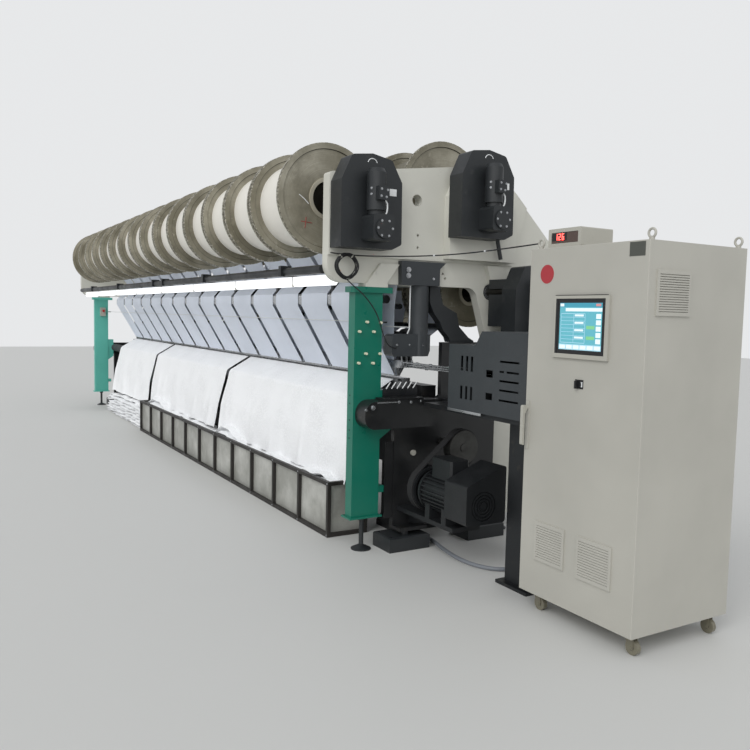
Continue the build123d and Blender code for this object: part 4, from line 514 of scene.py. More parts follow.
repeatTree = makeRepeatTree()
ringTree = makeRingTree()


def plainMesh(thing):
    bpy.context.view_layer.update()
    depsgraph = bpy.context.evaluated_depsgraph_get()
    return bpy.data.meshes.new_from_object(thing.evaluated_get(depsgraph), depsgraph=depsgraph)


def applyTree(piece, tree, values):
    modifier = piece.modifiers.new("nodes", "NODES")
    modifier.node_group = tree
    for item in tree.interface.items_tree:
        if item.in_out == "INPUT" and item.name in values:
            modifier[item.identifier] = values[item.name]
    mesh = plainMesh(piece)
    piece.modifiers.remove(modifier)
    piece.data = mesh


def repeated(piece, finish, count, pitch, rows=1, rowPitch=0.0):
    steps = {"Count": count, "Step": (-pitch, 0, 0), "Rows": rows, "Row Step": (-rowPitch, 0, 0)}
    applyTree(piece, repeatTree, {**steps, "Finish": finishes[finish]})


finishSlots = {
    "brightSteel": "bright_steel", "darkSteel": "dark_steel", "whitePaint": "white_plastic",
    "cream": "white_plastic", "greyPlastic": "grey_plastic", "plateDark": "grey_plastic",
    "board": "grey_plastic", "plastic": "black_plastic", "signRed": "red_plastic", "digit": "red_plastic",
}


# A piece of boxes, rods, bolts and tubes, repeated if asked, on its body
def detail(name, finish, body="root", slot=None, boxes=(), rods=(), bolts=(), tubes=(), repeat=None):
    build = bmesh.new()
    for add, shapes in ((addBox, boxes), (addRod, rods), (addBolt, bolts), (addTube, tubes)):
        for shape in shapes:
            add(build, *shape)
    piece = toObject(name, build, finish)
    if repeat:
        repeated(piece, finish, *repeat)
    return settle(piece, body, slot or finishSlots[finish])


# Cords, along the routes that their solids have
cords = {
    "tautRoute": ((0.045, -0.3, 2.024), (0.075, -0.2, 2.012), (0.1, 0.04, 2.014), (0.5, 0.204, 2.005),
                  (0.9, 0.295, 2.014), (1.328, 0.325, 2.034)),
    "dropRoute": ((0.06, 0.215, 1.4), (0.076, 0.178, 1.402), (0.084, 0.135, 1.418), (0.09, 0.097, 1.472),
                  (0.093, 0.068, 1.548), (0.096, 0.038, 1.622), (0.1, -0.01, 1.69), (0.103, -0.084, 1.764),
                  (0.103, -0.16, 1.815), (0.1, -0.209, 1.857)),
    "conduitRoute": ((-0.22, 0.52, 0.024), (-0.09, 0.528, 0.018), (0.07, 0.545, 0.016), (0.25, 0.5, 0.015),
                     (0.4, 0.468, 0.015), (0.56, 0.452, 0.015), (0.7, 0.472, 0.015), (0.8, 0.53, 0.015),
                     (0.85, 0.62, 0.015), (0.905, 0.71, 0.015), (1.0, 0.768, 0.015), (1.13, 0.785, 0.015),
                     (1.28, 0.765, 0.015), (1.42, 0.71, 0.015), (1.54, 0.66, 0.015), (1.64, 0.638, 0.015),
                     (1.7, 0.64, 0.017), (1.74, 0.64, 0.05), (1.74, 0.64, 0.104)),
    "cableRadius": 0.004, "conduitRadius": 0.013, "bevelSides": 4, "resolution": 10,
    "coilCentre": (0.1004, -0.206, 1.938), "coilRadius": 0.077, "coilStart": -125, "coilStep": 30,
    "coilPoints": 70, "tailPoints": 4, "coilSpread": 0.026,
    "slowWaver": (0.0085, 0.41), "quickWaver": (0.003, 1.3), "sideWaver": (0.003, 1.7), "tailRise": 0.006,
    "tiePlaces": ((0.5, 0.204, 2.005), (0.9, 0.295, 2.014)), "tieRadius": 0.0062, "tieLength": 0.012,
    "coilTies": (62, 128), "coilTieRadius": 0.015, "coilTieLength": 0.006,
}


def cordCurve(name, route, radius, finish):
    curve = bpy.data.curves.new(name, "CURVE")
    curve.dimensions = "3D"
    spline = curve.splines.new("NURBS")
    spline.points.add(len(route) - 1)
    for point, place in zip(spline.points, route):
        point.co = (*place, 1)
        point.radius = radius
    spline.order_u = 3
    spline.use_endpoint_u = True
    spline.resolution_u = cords["resolution"]
    curve.bevel_depth = 1.0  # each point carries the cord's radius
    curve.bevel_resolution = cords["bevelSides"]
    curve.use_fill_caps = True
    curve.materials.append(finishes[finish])
    return linked(name, curve)


def splineLine(cord):
    depth = cord.data.bevel_depth
    cord.data.bevel_depth = 0.0
    mesh = plainMesh(cord)
    line = [vertex.co.copy() for vertex in mesh.vertices]
    bpy.data.meshes.remove(mesh)
    cord.data.bevel_depth = depth
    return line


def lengthOf(line):
    return sum((b - a).length for a, b in zip(line, line[1:]))


def waver(key, k):
    height, pace = cords[key]
    return height * math.sin(pace * k)


def coilRoute():
    x, y, z = cords["coilCentre"]
    count, tail = cords["coilPoints"], cords["tailPoints"]
    route = []
    for k in range(count):
        turn = math.radians(cords["coilStart"] - cords["coilStep"] * k)
        radius = cords["coilRadius"] + waver("slowWaver", k) + waver("quickWaver", k)
        radius += cords["tailRise"] * max(0.0, (k - count + tail + 1) / tail)
        side = cords["coilSpread"] * (0.5 - k / (count - 1)) + waver("sideWaver", k)
        route.append(around((x + side, y, z), radius, turn))
    return route


def tautTies(taut):
    line = splineLine(taut)
    ties = []
    for number, place in enumerate(cords["tiePlaces"]):
        near = min(range(1, len(line) - 1), key=lambda k: (line[k] - Vector(place)).length)
        along = (line[near + 1] - line[near - 1]).normalized() * cords["tieLength"] / 2
        rod = (line[near] - along, line[near] + along, cords["tieRadius"])
        ties.append(detail(f"taut_line_tie_{number + 1}", "whitePaint", rods=[rod]))
    return ties


def coilTies():
    ties = []
    for number, angle in enumerate(cords["coilTies"]):
        turn = math.radians(angle)
        middle = around(cords["coilCentre"], cords["coilRadius"], turn)
        along = Vector((0, -math.sin(turn), math.cos(turn))) * cords["coilTieLength"] / 2
        rod = (middle - along, middle + along, cords["coilTieRadius"])
        ties.append(detail(f"coil_tie_{number + 1}", "greyPlastic", rods=[rod]))
    return ties


def layCords():
    thin, thick = cords["cableRadius"], cords["conduitRadius"]
    taut = cordCurve("taut_line", cords["tautRoute"], thin, "cable")
    settle(taut, "root", "cord_black", "taut_cable")
    coiled = cords["dropRoute"] + tuple(coilRoute())
    drop = cordCurve("coiled_line", coiled, thin, "cable")
    settle(drop, "root", "cord_black", "drop_cable", "cable_coil")
    lengthOf(splineLine(taut))
    tautTies(taut)
    lengthOf(splineLine(drop))
    coilTies()
    conduit = cordCurve("conduit_line", cords["conduitRoute"], thick, "conduit")
    settle(conduit, "root", "conduit", "floor_conduit")
    lengthOf(splineLine(conduit))


layCords()
print("cords laid")


# Warp threads: one thread per row of beams, repeated across each strip and from beam to beam
warp = {
    "strips": 15, "pitch": 0.535, "firstX": -0.239, "stripWidth": 0.464,
    "threads": 100, "threadWidth": 0.0042, "threadDepth": 0.0008,
    "rows": {
        "front_warp_threads": ((0.0717, 2.27), (0.27, 2.002), (0.269, 1.99), (0.11, 1.799),
                               (0.0975, 1.785), (0.097, 1.689), (0.364, 1.236), (0.396, 1.18)),
        "rear_warp_threads": ((0.482, 2.6), (0.38, 1.69), (0.376, 1.35), (0.415, 1.18)),
        "lower_warp_threads": ((0.835, 1.83), (0.792, 1.538), (0.52, 1.35), (0.437, 1.18)),
    },
}


def threadRing(build, x, point, off):
    width = warp["threadWidth"]
    corners = ((x, point + off), (x - width, point + off), (x - width, point - off), (x, point - off))
    return [build.verts.new((side, place.x, place.y)) for side, place in corners]


def hangWarp():
    step = (warp["stripWidth"] - warp["threadWidth"]) / (warp["threads"] - 1)
    for name, route in warp["rows"].items():
        points = [Vector(point) for point in route]
        build = bmesh.new()
        rings = []
        for k, point in enumerate(points):
            along = alongAt(points, k)
            off = Vector((-along.y, along.x)) * warp["threadDepth"] / 2
            rings.append(threadRing(build, warp["firstX"], point, off))
        addSkin(build, rings)
        piece = toObject(name, build, "thread")
        repeated(piece, "thread", warp["threads"], step, warp["strips"], warp["pitch"])
        settle(piece, "root", "yarn", "yarn_sheets")


hangWarp()
print("warp threads hung")


# Knitting elements: thin guide blades under each bar, needles along their bar, clamps and collars
knitting = {
    "bars": {"guide_front": (0.391, 0.395, 1.288), "guide_middle": (0.43, 0.415, 1.27),
             "guide_rear": (0.471, 0.436, 1.252)},
    "blade": {"top": (-0.007, 1.245, 0.0016), "foot": (-0.002, 1.178, 0.0007), "width": 0.0012,
              "pitch": 0.00928},
    "clamp": {"x": -0.15, "length": 0.022, "half": 0.011, "heights": (1.262, 1.292), "bevel": 0.002},
    "stud": {"z": 1.291, "lean": (0.014, -0.012, 0.043), "radius": 0.0065},
    "nut": {"height": 0.012, "radius": 0.0105},
    "collarX": ((0.05, 0.076), (0.215, 0.236), (0.43, 0.452)), "collarRadius": 0.0105,
    "needle": {"low": (0.4055, 1.141), "high": (0.4068, 1.1575), "width": 0.0012, "pitch": 0.0045,
               "margin": 0.01},
}


def hangBlades(body, barY, tipY):
    blade, x = knitting["blade"], warp["firstX"]
    build = bmesh.new()
    rings = []
    for y, key in ((barY, "top"), (tipY, "foot")):
        shift, z, half = blade[key]
        sides = ((0, -half), (0, half), (blade["width"], half), (blade["width"], -half))
        rings.append([build.verts.new((x - side, y + shift + off, z)) for side, off in sides])
    addSkin(build, rings)
    piece = toObject(f"{body}_blades", build, "brightSteel")
    count = int(warp["stripWidth"] / blade["pitch"]) + 1
    repeated(piece, "brightSteel", count, blade["pitch"], warp["strips"], warp["pitch"])
    settle(piece, body, "bright_steel")


def dressBar(body, barY, rodZ):
    clamp, stud, nut = knitting["clamp"], knitting["stud"], knitting["nut"]
    (low, high), x = clamp["heights"], clamp["x"]
    box = ((x, barY - clamp["half"], low), (x + clamp["length"], barY + clamp["half"], high), clamp["bevel"])
    detail(f"{body}_clamp", "brightSteel", body, boxes=[box])
    rods = [((x0, barY, rodZ), (x1, barY, rodZ), knitting["collarRadius"]) for x0, x1 in knitting["collarX"]]
    foot = Vector((x + clamp["length"] / 2, barY, stud["z"]))
    rods += [(foot, foot + Vector(stud["lean"]), stud["radius"]),
             (foot, foot + Vector((0, 0, nut["height"])), nut["radius"])]
    detail(f"{body}_collars", "brightSteel", body, rods=rods)


def dressBars():
    for body, (barY, tipY, rodZ) in knitting["bars"].items():
        hangBlades(body, barY, tipY)
        dressBar(body, barY, rodZ)


def standNeedles():
    needle = knitting["needle"]
    low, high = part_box("needle_bar")
    x = high[0] - needle["margin"]
    box = ((x - needle["width"], *needle["low"]), (x, *needle["high"]))
    count = int((high[0] - low[0] - 2 * needle["margin"]) / needle["pitch"])
    detail("compound_needles", "brightSteel", "needles", boxes=[box], repeat=(count, needle["pitch"]))


comb = {
    "plate": ((0.05, 0.117, 1.0645), (0.055, 0.402, 1.126), 0.001),
    "teeth": 6, "first": 0.142, "pitch": 0.044, "x": 0.0565, "lean": 0.034, "heights": (1.118, 1.163),
    "radius": 0.0042, "sides": 8,
}


def standComb():
    x, (foot, top) = comb["x"], comb["heights"]
    rods = []
    for k in range(comb["teeth"]):
        y = comb["first"] + comb["pitch"] * k
        rods.append(((x, y, foot), (x, y + comb["lean"], top), comb["radius"], comb["sides"]))
    detail("selvedge_comb_plate", "darkSteel", boxes=[comb["plate"]])
    detail("selvedge_comb_teeth", "whitePaint", rods=rods)


dressBars()
standNeedles()
standComb()
print("knitting elements dressed")


# Fabric panels from the knitting line over the front roller and down, with waves that grow towards the foot
cloth = {
    "panels": ((-3.12, -0.26, 0.04, 0.385), (-5.95, -3.2, 0.052, 0.4), (-8.215, -6.03, 0.045, 0.3335)),
    "start": (0.397, 1.155), "roller": (0.215, 0.975, 0.0635), "rollerAngles": (118, 181, 9),
    "belowRoller": (0.028, 0.86), "aboveFoot": (0.032, 0.66), "across": 0.014, "along": 0.016,
    "smooth": 80.0, "fold": 0.034, "foldGrowth": 0.8,
    "waves": ((2.2, 7.3, 0.7, 1.0), (6.5, 3.1, 1.2, 0.75), (17.0, 5.7, 5.0, 0.16)),
    "straightTop": 0.4, "backShare": 0.4, "frontShare": 0.6,
    "curl": 0.018, "curlWidth": 0.05, "drawIn": 0.045, "drawWidth": 0.16,
}


def clothRoute(footY, footZ):
    y, z, radius = cloth["roller"]
    points = [Vector(cloth["start"])]
    for angle in range(*cloth["rollerAngles"]):
        turn = math.radians(angle)
        points.append(Vector((y + radius * math.cos(turn), z + radius * math.sin(turn))))
    out, below = cloth["belowRoller"]
    back, above = cloth["aboveFoot"]
    points += [Vector((y - radius - out, below)), Vector((footY + back, above)), Vector((footY, footZ))]
    route = []
    for a, b in zip(points, points[1:]):
        steps = max(1, round((b - a).length / cloth["along"]))
        route += [a.lerp(b, k / steps) for k in range(steps)]
    return route + [points[-1]]


# A sheet over rows of corners, with a map in metres
def woven(name, columns, across, lengths, cornerAt):
    build = bmesh.new()
    grid = [[build.verts.new(cornerAt(row, column / columns)) for column in range(columns + 1)]
            for row in range(len(lengths))]
    uvLayer = build.loops.layers.uv.new("cloth")
    for k in range(len(grid) - 1):
        for c in range(columns):
            marks = ((k, c), (k + 1, c), (k + 1, c + 1), (k, c + 1))
            face = build.faces.new([grid[row][column] for row, column in marks])
            for loop, (row, column) in zip(face.loops, marks):
                loop[uvLayer].uv = (column * across, lengths[row])
    return toObject(name, build, "cloth", cloth["smooth"])


def wavesAt(index, x, length):
    return sum(share * noise.noise(Vector((x * pace, index * apart, length * down)))
               for pace, apart, down, share in cloth["waves"])


def clothPanel(index, x0, x1, footY, footZ):
    route = clothRoute(footY, footZ)
    columns, top = round((x1 - x0) / cloth["across"]), cloth["straightTop"]
    lengths = [0.0]
    for a, b in zip(route, route[1:]):
        lengths.append(lengths[-1] + (b - a).length)

    def cornerAt(row, share):
        hang = max(0.0, (lengths[row] - top) / (lengths[-1] - top))
        x = x1 + (x0 - x1) * share
        edge = min(share, 1 - share) * (x1 - x0)
        depth = cloth["fold"] * hang ** cloth["foldGrowth"] * wavesAt(index, x, lengths[row])
        depth -= cloth["curl"] * math.exp(-edge / cloth["curlWidth"]) * hang
        inward = -1 if share < 0.5 else 1
        x += inward * cloth["drawIn"] * hang ** 2 * math.exp(-edge / cloth["drawWidth"])
        y, z = route[row]
        return (x, y - abs(depth) * cloth["backShare"] + depth * cloth["frontShare"], z)

    piece = woven(f"fabric_panel_{index + 1}", columns, cloth["across"], lengths, cornerAt)
    settle(piece, "root", "fabric", "fabric_panels")


# Piles of finished cloth, folded to and fro in layers, the upper ones drawn in, heaped and uneven
piles = {
    "layer": 0.021, "across": 0.03, "inset": 0.05, "insetFrom": 0.72, "layerShares": (0.0, 0.34, 0.67, 1.0),
    "lump": 0.032, "wave": 0.008, "endDrop": 0.07, "endWidth": 0.025, "sideWave": 1.6,
    "heaps": ((-5.38, 0.34, 0.11), (-2.72, 0.26, 0.105), (-4.4, 0.3, 0.03), (-0.8, 0.35, 0.02)),
    "inBin": ((-2.196, -0.361, 0.405, 0.012), (-4.04, -2.204, 0.405, 0.012), (-5.879, -4.048, 0.405, 0.012)),
    "binSides": (-0.066, 0.214), "onFloor": (-8.215, -6.0, 0.33, 0.06), "floorSides": (-0.08, 0.24),
    "binSeed": 3.0, "floorSeed": 8.0, "longLump": (2.4, 0.3), "shortLump": (6.1, 6.0, 0.7),
    "ripple": (5.0, 5.0), "sway": (3.2, 2.0, 5.0),
}


def pileRoute(y0, y1, height):
    layer, insetFrom = piles["layer"], piles["insetFrom"]
    count = int(height / layer)
    route = []
    for k in range(count):
        z = layer * (k + 0.5)
        level = k / (count - 1)
        inset = piles["inset"] * max(0.0, (level - insetFrom) / (1 - insetFrom)) ** 2
        ends = (y0 + inset + layer / 2, y1 - inset - layer / 2)
        start, end = ends if k % 2 == 0 else ends[::-1]
        for share in piles["layerShares"]:
            route.append((start + (end - start) * share, z, level))
        if k < count - 1:
            way = 1 if end > start else -1
            route.append((end + way * layer / 2, z + layer / 2, level))
    return route


def heapAt(x):
    return sum(rise * math.exp(-((x - centre) / width) ** 2) for centre, width, rise in piles["heaps"])


def riseAt(x, y, level, edge, seed):
    longPace, depth = piles["longLump"]
    shortPace, across, share = piles["shortLump"]
    pace, up = piles["ripple"]
    lump = noise.noise(Vector((x * longPace, seed, depth)))
    lump += noise.noise(Vector((x * shortPace, seed, y * across))) * share
    rise = level ** 2 * (piles["lump"] * lump + heapAt(x))
    rise -= piles["endDrop"] * level ** 3 * math.exp(-edge / piles["endWidth"])
    return rise + piles["wave"] * level * noise.noise(Vector((x * pace, seed, level * up)))


def foldedPile(name, x0, x1, height, rough, sides, seed, restsOn):
    route = pileRoute(*sides, height)
    middle, columns = sum(sides) / 2, round((x1 - x0) / piles["across"])
    pace, apart, up = piles["sway"]
    lengths = [0.0]
    for a, b in zip(route, route[1:]):
        lengths.append(lengths[-1] + math.hypot(b[0] - a[0], b[1] - a[1]))

    def cornerAt(row, share):
        y, z, level = route[row]
        x = x1 + (x0 - x1) * share
        side = rough * piles["sideWave"] * abs(noise.noise(Vector((x * pace, seed + apart, level * up))))
        rise = riseAt(x, y, level, min(share, 1 - share), seed)
        return (x, y + (side if y < middle else -side), z + rise)

    piece = woven(name, columns, piles["across"], lengths, cornerAt)
    settle(piece, "root", "fabric", "fabric_piles")


def hangFabric():
    for index, panel in enumerate(cloth["panels"]):
        clothPanel(index, *panel)
    for index, pile in enumerate(piles["inBin"]):
        seed = piles["binSeed"] + index
        foldedPile(f"fabric_pile_{index + 1}", *pile, piles["binSides"], seed, ["bin_frame"])
    foldedPile("fabric_pile_4", *piles["onFloor"], piles["floorSides"], piles["floorSeed"], [])


hangFabric()
print("fabric hung")


# Near column: cream sleeves on its hooks, black discs painted as the shade in its front holes
column = {
    "sleeve": (0.0432, 0.0636, 0.0656), "sleeveRadius": 0.0096, "sleeveTaper": 0.82, "sleeveSides": 20,
    "pins": ((-0.016, 1.576), (0.091, 1.573), (-0.073, 1.511), (0.037, 1.511),
             (-0.021, 1.362), (0.092, 1.361), (-0.075, 1.299), (0.036, 1.297)),
    "holeShades": (1.076, 1.021, 0.907, 0.838, 0.783), "holeShadeY": (-0.103, -0.1064), "holeShadeRadius": 0.0066,
}


def dressColumn():
    foot, rim, end = column["sleeve"]
    radius, sides = column["sleeveRadius"], column["sleeveSides"]
    rods = []
    for y, z in column["pins"]:
        rods += [((foot, y, z), (rim, y, z), radius, sides),
                 ((rim, y, z), (end, y, z), radius, sides, radius * column["sleeveTaper"])]
    detail("pin_sleeves", "cream", rods=rods)
    # Black discs at the column's front face, painted as the shade inside its holes
    back, front = column["holeShadeY"]
    holeShades = [((0, back, z), (0, front, z), column["holeShadeRadius"]) for z in column["holeShades"]]
    detail("column_hole_shades", "plastic", rods=holeShades)


# Hanger bracket: foot screws, white bent thread rod, head plate bolts
hanger = {
    "bolts": ((0.0602, 0.22, 1.421, 0.012), (0.0602, 0.325, 1.421, 0.012), (0.0602, 0.43, 1.421, 0.012),
              (0.0752, 0.29, 1.94, 0.026), (0.0752, 0.29, 1.9, 0.026), (0.0752, 0.5, 1.885, 0.013)),
    "bend": ((0.035, 0.334, 1.834), (0.035, 0.334, 1.55), (0.035, 0.333, 1.53), (0.035, 0.326, 1.515),
             (0.035, 0.318, 1.4975)),
    "bendRadius": 0.0048, "cross": ((-0.31, 0.334, 1.543), (0.0385, 0.334, 1.543), 0.004, 10),
}


def dressHanger():
    bolts = [(place, (1, 0, 0), across) for *place, across in hanger["bolts"]]
    detail("hanger_bolts", "brightSteel", bolts=bolts)
    bend = (hanger["bend"], hanger["bendRadius"])
    detail("white_thread_rod", "whitePaint", rods=[hanger["cross"]], tubes=[bend])


# Lease rod across the machine in front of the warp, in a clip behind each column
lease = {
    "y": 0.16, "z": 1.575, "radius": 0.003, "sides": 8, "farInset": 0.043,
    "clip": (0.012, 0.006), "clipY": (0.107, 0.166), "bevel": 0.001,
}


def hangLeaseRod():
    farX = nodes["far_front_column"].bound_box[0][0] + lease["farInset"]
    y, z, (halfX, halfZ), (y0, y1) = lease["y"], lease["z"], lease["clip"], lease["clipY"]
    detail("lease_rod", "whitePaint", rods=[((farX, y, z), (0.0, y, z), lease["radius"], lease["sides"])])
    clips = [((x - halfX, y0, z - halfZ), (x + halfX, y1, z + halfZ), lease["bevel"]) for x in (0.0, farX)]
    detail("lease_rod_clips", "darkSteel", boxes=clips)


dressColumn()
dressHanger()
hangLeaseRod()
print("column and hanger dressed")


# Let-off guards and gearmotors, set from each guard's low corner
letOff = {
    "corners": {"front": (0.045, -0.305, 2.055), "rear": (0.12, 0.583, 2.175), "lower": (0.26, 0.967, 1.4)},
    "boxScrews": ((0.324, 0.236, 0.352), (0.324, 0.227, 0.308), (0.324, 0.19, 0.312), (0.324, 0.192, 0.356)),
    "motorScrews": ((0.259, 0.157, 0.365), (0.259, 0.157, 0.328)), "motorFacing": (0.5, -0.866, 0),
    "screw": 0.011, "ringCentre": (0.317, 0.23, 0.115), "ringRadius": 0.053, "ringScrews": 6,
    "patch": ((0.15, 0.355, 0.348), (0.1512, 0.408, 0.393)),
    "highlightCentre": (0.151, 0.222, 0.535), "highlightRadius": 0.036, "highlightAngles": (20, 176, 12), "highlightSize": (0.003, 8),
    "lead": ((0.3, 0.236, 0.292), (0.302, 0.247, 0.272), (0.301, 0.25, 0.245), (0.296, 0.25, 0.222),
             (0.29, 0.246, 0.204)),
    "leadRadius": 0.005,
}


def screwCover(name, low):
    build = bmesh.new()
    addBolt(build, (0, letOff["ringRadius"], 0), (1, 0, 0), letOff["screw"])
    ring = toObject(name, build, "brightSteel")
    values = {"Count": letOff["ringScrews"], "Centre": tuple(low + Vector(letOff["ringCentre"]))}
    applyTree(ring, ringTree, {**values, "Finish": finishes["brightSteel"]})
    settle(ring, "root", "bright_steel")


def dressLetOff():
    screw = letOff["screw"]
    turns = [math.radians(degrees) for degrees in range(*letOff["highlightAngles"])]
    for name, corner in letOff["corners"].items():
        low = Vector(corner)
        bolts = [(low + Vector(place), (1, 0, 0), screw) for place in letOff["boxScrews"]]
        bolts += [(low + Vector(place), letOff["motorFacing"], screw) for place in letOff["motorScrews"]]
        detail(f"{name}_guard_screws", "brightSteel", bolts=bolts)
        screwCover(f"{name}_cover_screws", low)
        lead = [low + Vector(point) for point in letOff["lead"]]
        detail(f"{name}_motor_lead", "whitePaint", tubes=[(lead, letOff["leadRadius"])])
        detail(f"{name}_bare_patch", "whitePaint", boxes=[[low + Vector(place) for place in letOff["patch"]]])
        # A white tube painted as the highlight along the top rim of each gearmotor's fan cap
        highlightArc = [around(low + Vector(letOff["highlightCentre"]), letOff["highlightRadius"], turn) for turn in turns]
        detail(f"{name}_cap_rim_highlight", "whitePaint", tubes=[(highlightArc, *letOff["highlightSize"])])


# Chalk strokes left on the near flange of the first front beam
strokes = {
    "x": -0.2176, "size": (0.0028, 8),
    "white": ("whitePaint", (((-0.408, 2.42), (-0.372, 2.396), (-0.336, 2.363)),)),
    "red": ("chalkRed", (((-0.391, 2.243), (-0.35, 2.24), (-0.309, 2.236)),
                         ((-0.354, 2.273), (-0.357, 2.236), (-0.361, 2.199)))),
}


def markBeam():
    for colour in ("white", "red"):
        finish, lines = strokes[colour]
        tubes = [([(strokes["x"], y, z) for y, z in line], *strokes["size"]) for line in lines]
        detail(f"beam_{colour}_stroke", finish, "front_beams", "beam_aluminium", tubes=tubes)


dressLetOff()
markBeam()
print("let-off dressed")


# Control cabinet: bare round badge and plates, screen rim, lit screen, counter digits, wheel hubs
cabinet = {
    "faceY": 0.28, "badge": (1.455, 1.862), "badgeDepth": 0.0014, "badgeSize": (0.05, 48),
    "plates": (("door_bare_plate", "plateDark", ((2.007, 1.927), (2.099, 1.993)), 0.0, 0.0014),
               ("switch_plate", "plastic", ((1.691, 1.272), (1.748, 1.319)), 0.0, 0.0016),
               ("switch_window", "whitePaint", ((1.726, 1.282), (1.743, 1.308)), 0.0015, 0.0026)),
    "rim": ((1.531, 1.425), (1.908, 1.746)), "rimWidths": (0.013, 0.024, 0.022, 0.015),
    "rimY": (0.2665, 0.2799),
    "lit": ((1.573, 1.469), (1.863, 1.709)), "litY": 0.2699, "litStep": 0.0006, "litDepth": 0.0004,
    "hub": (0.028, 0.0375, 0.0142, 0.014),
    "casters": {"caster_a": (1.398, 0.355), "caster_b": (2.048, 0.355), "caster_c": (1.398, 0.925),
                "caster_d": (2.048, 0.925)},
}


def onFace(corners, back, front):
    (x0, z0), (x1, z1) = corners
    return ((x0, front, z0), (x1, back, z1))


def dressDoor():
    face, depth = cabinet["faceY"], cabinet["badgeDepth"]
    x, z = cabinet["badge"]
    badge = ((x, face, z), (x, face - depth, z), *cabinet["badgeSize"])
    detail("door_badge", "signRed", "door", rods=[badge])
    for name, finish, corners, back, front in cabinet["plates"]:
        detail(name, finish, "door", boxes=[onFace(corners, face - back, face - front)])


def rimScreen():
    (x0, z0), (x1, z1) = cabinet["rim"]
    left, right, foot, top = cabinet["rimWidths"]
    front, back = cabinet["rimY"]
    inner0, inner1 = x0 + left, x1 - right
    sides = (((x0, z0), (inner0, z1)), ((inner1, z0), (x1, z1)), ((inner0, z0), (inner1, z0 + foot)),
             ((inner0, z1 - top), (inner1, z1)))
    detail("screen_rim", "greyPlastic", "door", boxes=[onFace(side, back, front) for side in sides])


# Fields of the screen: finish, how far it stands out, and its boxes as shares of the width and of the height
screenFields = {
    "strip": ("screenDeep", 1, ((0, 1, 0, 0.09),)),
    "table": ("screenPale", 1, ((0.03, 0.62, 0.22, 0.235), (0.03, 0.62, 0.84, 0.855),
                                (0.03, 0.04, 0.22, 0.855), (0.34, 0.35, 0.22, 0.855),
                                (0.61, 0.62, 0.22, 0.855))),
    "rows": ("screenPale", 1, [(0.03, 0.62, 0.3 + 0.078 * k, 0.31 + 0.078 * k) for k in range(7)]),
    "entries": ("screenWhite", 1, [(0.37, 0.58, 0.245 + 0.078 * k, 0.285 + 0.078 * k) for k in (0, 2, 4, 6)]),
    "bar": ("screenWhite", 1, ((0.14, 1.0, 0.11, 0.18),)),
    "menu": ("screenPale", 1, ((0.0, 1.0, 0.88, 1.0),)),
    "menuKeys": ("screenWhite", 2, [(0.02 + 0.165 * k, 0.16 + 0.165 * k, 0.9, 0.98) for k in range(6)]),
    "keys": ("screenWhite", 1, [(0.87, 0.98, 0.23 + 0.13 * k, 0.33 + 0.13 * k) for k in range(5)]),
    "gauge": ("screenGreen", 1, ((0.65, 0.84, 0.7, 0.77), (0.65, 0.84, 0.48, 0.55))),
    "corner": ("screenWhite", 2, ((0.01, 0.1, 0.015, 0.075),)),
    "mark": ("screenRed", 2, ((0.86, 0.97, 0.02, 0.07),)),
}


def lightScreen():
    (x0, z0), (x1, z1) = cabinet["lit"]
    lit, step = cabinet["litY"], cabinet["litStep"]
    base = onFace(cabinet["lit"], lit + cabinet["litDepth"], lit - step)
    detail("screen_field", "screenField", "door", "screen", boxes=[base])
    for name, (finish, level, shares) in screenFields.items():
        boxes = []
        for left, right, top, foot in shares:
            corners = ((x0 + (x1 - x0) * left, z1 - (z1 - z0) * foot),
                       (x0 + (x1 - x0) * right, z1 - (z1 - z0) * top))
            back = lit - step * level
            boxes.append(onFace(corners, back + step / 2, back - step / 2))
        detail(f"screen_{name}", finish, "door", "screen", boxes=boxes)


counter = {
    "board": ((1.4235, 2.0275), (1.6165, 2.0825)), "boardY": (0.3352, 0.3332),
    "window": ((1.4245, 2.04), (1.534, 2.082)), "windowY": (0.3334, 0.3324),
    "digits": ((1, 2), (0, 1, 3, 4, 6), (0, 2, 3, 4, 5, 6)), "digitY": (0.3325, 0.3317),
    "start": (1.45, 2.0435), "size": (0.016, 0.034), "pitch": 0.024, "stroke": 0.0048,
}


# Seven segments a digit: top, the two on the right, foot, the two on the left, middle
def digitBoxes():
    width, height = counter["size"]
    left, foot = counter["start"]
    stroke, half = counter["stroke"], height / 2
    segments = ((0, height - stroke, width, height), (width - stroke, half, width, height),
                (width - stroke, 0, width, half), (0, 0, width, stroke), (0, 0, stroke, half),
                (0, half, stroke, height), (0, half - stroke / 2, width, half + stroke / 2))
    boxes = []
    for number, used in enumerate(counter["digits"]):
        x = left + counter["pitch"] * number
        for segment in used:
            a, b, c, d = segments[segment]
            boxes.append(onFace(((x + a, foot + b), (x + c, foot + d)), *counter["digitY"]))
    return boxes


def lightCounter():
    detail("counter_board", "board", boxes=[onFace(counter["board"], *counter["boardY"])])
    detail("counter_window", "plastic", boxes=[onFace(counter["window"], *counter["windowY"])])
    detail("counter_digits", "digit", boxes=digitBoxes())


def capWheels():
    shift, z, half, radius = cabinet["hub"]
    for body, (x, y) in cabinet["casters"].items():
        rod = ((x + shift, y - half, z), (x + shift, y + half, z), radius)
        detail(f"{body}_hub", "darkSteel", body, "caster", rods=[rod])


dressDoor()
rimScreen()
lightScreen()
lightCounter()
capWheels()
print("cabinet dressed")


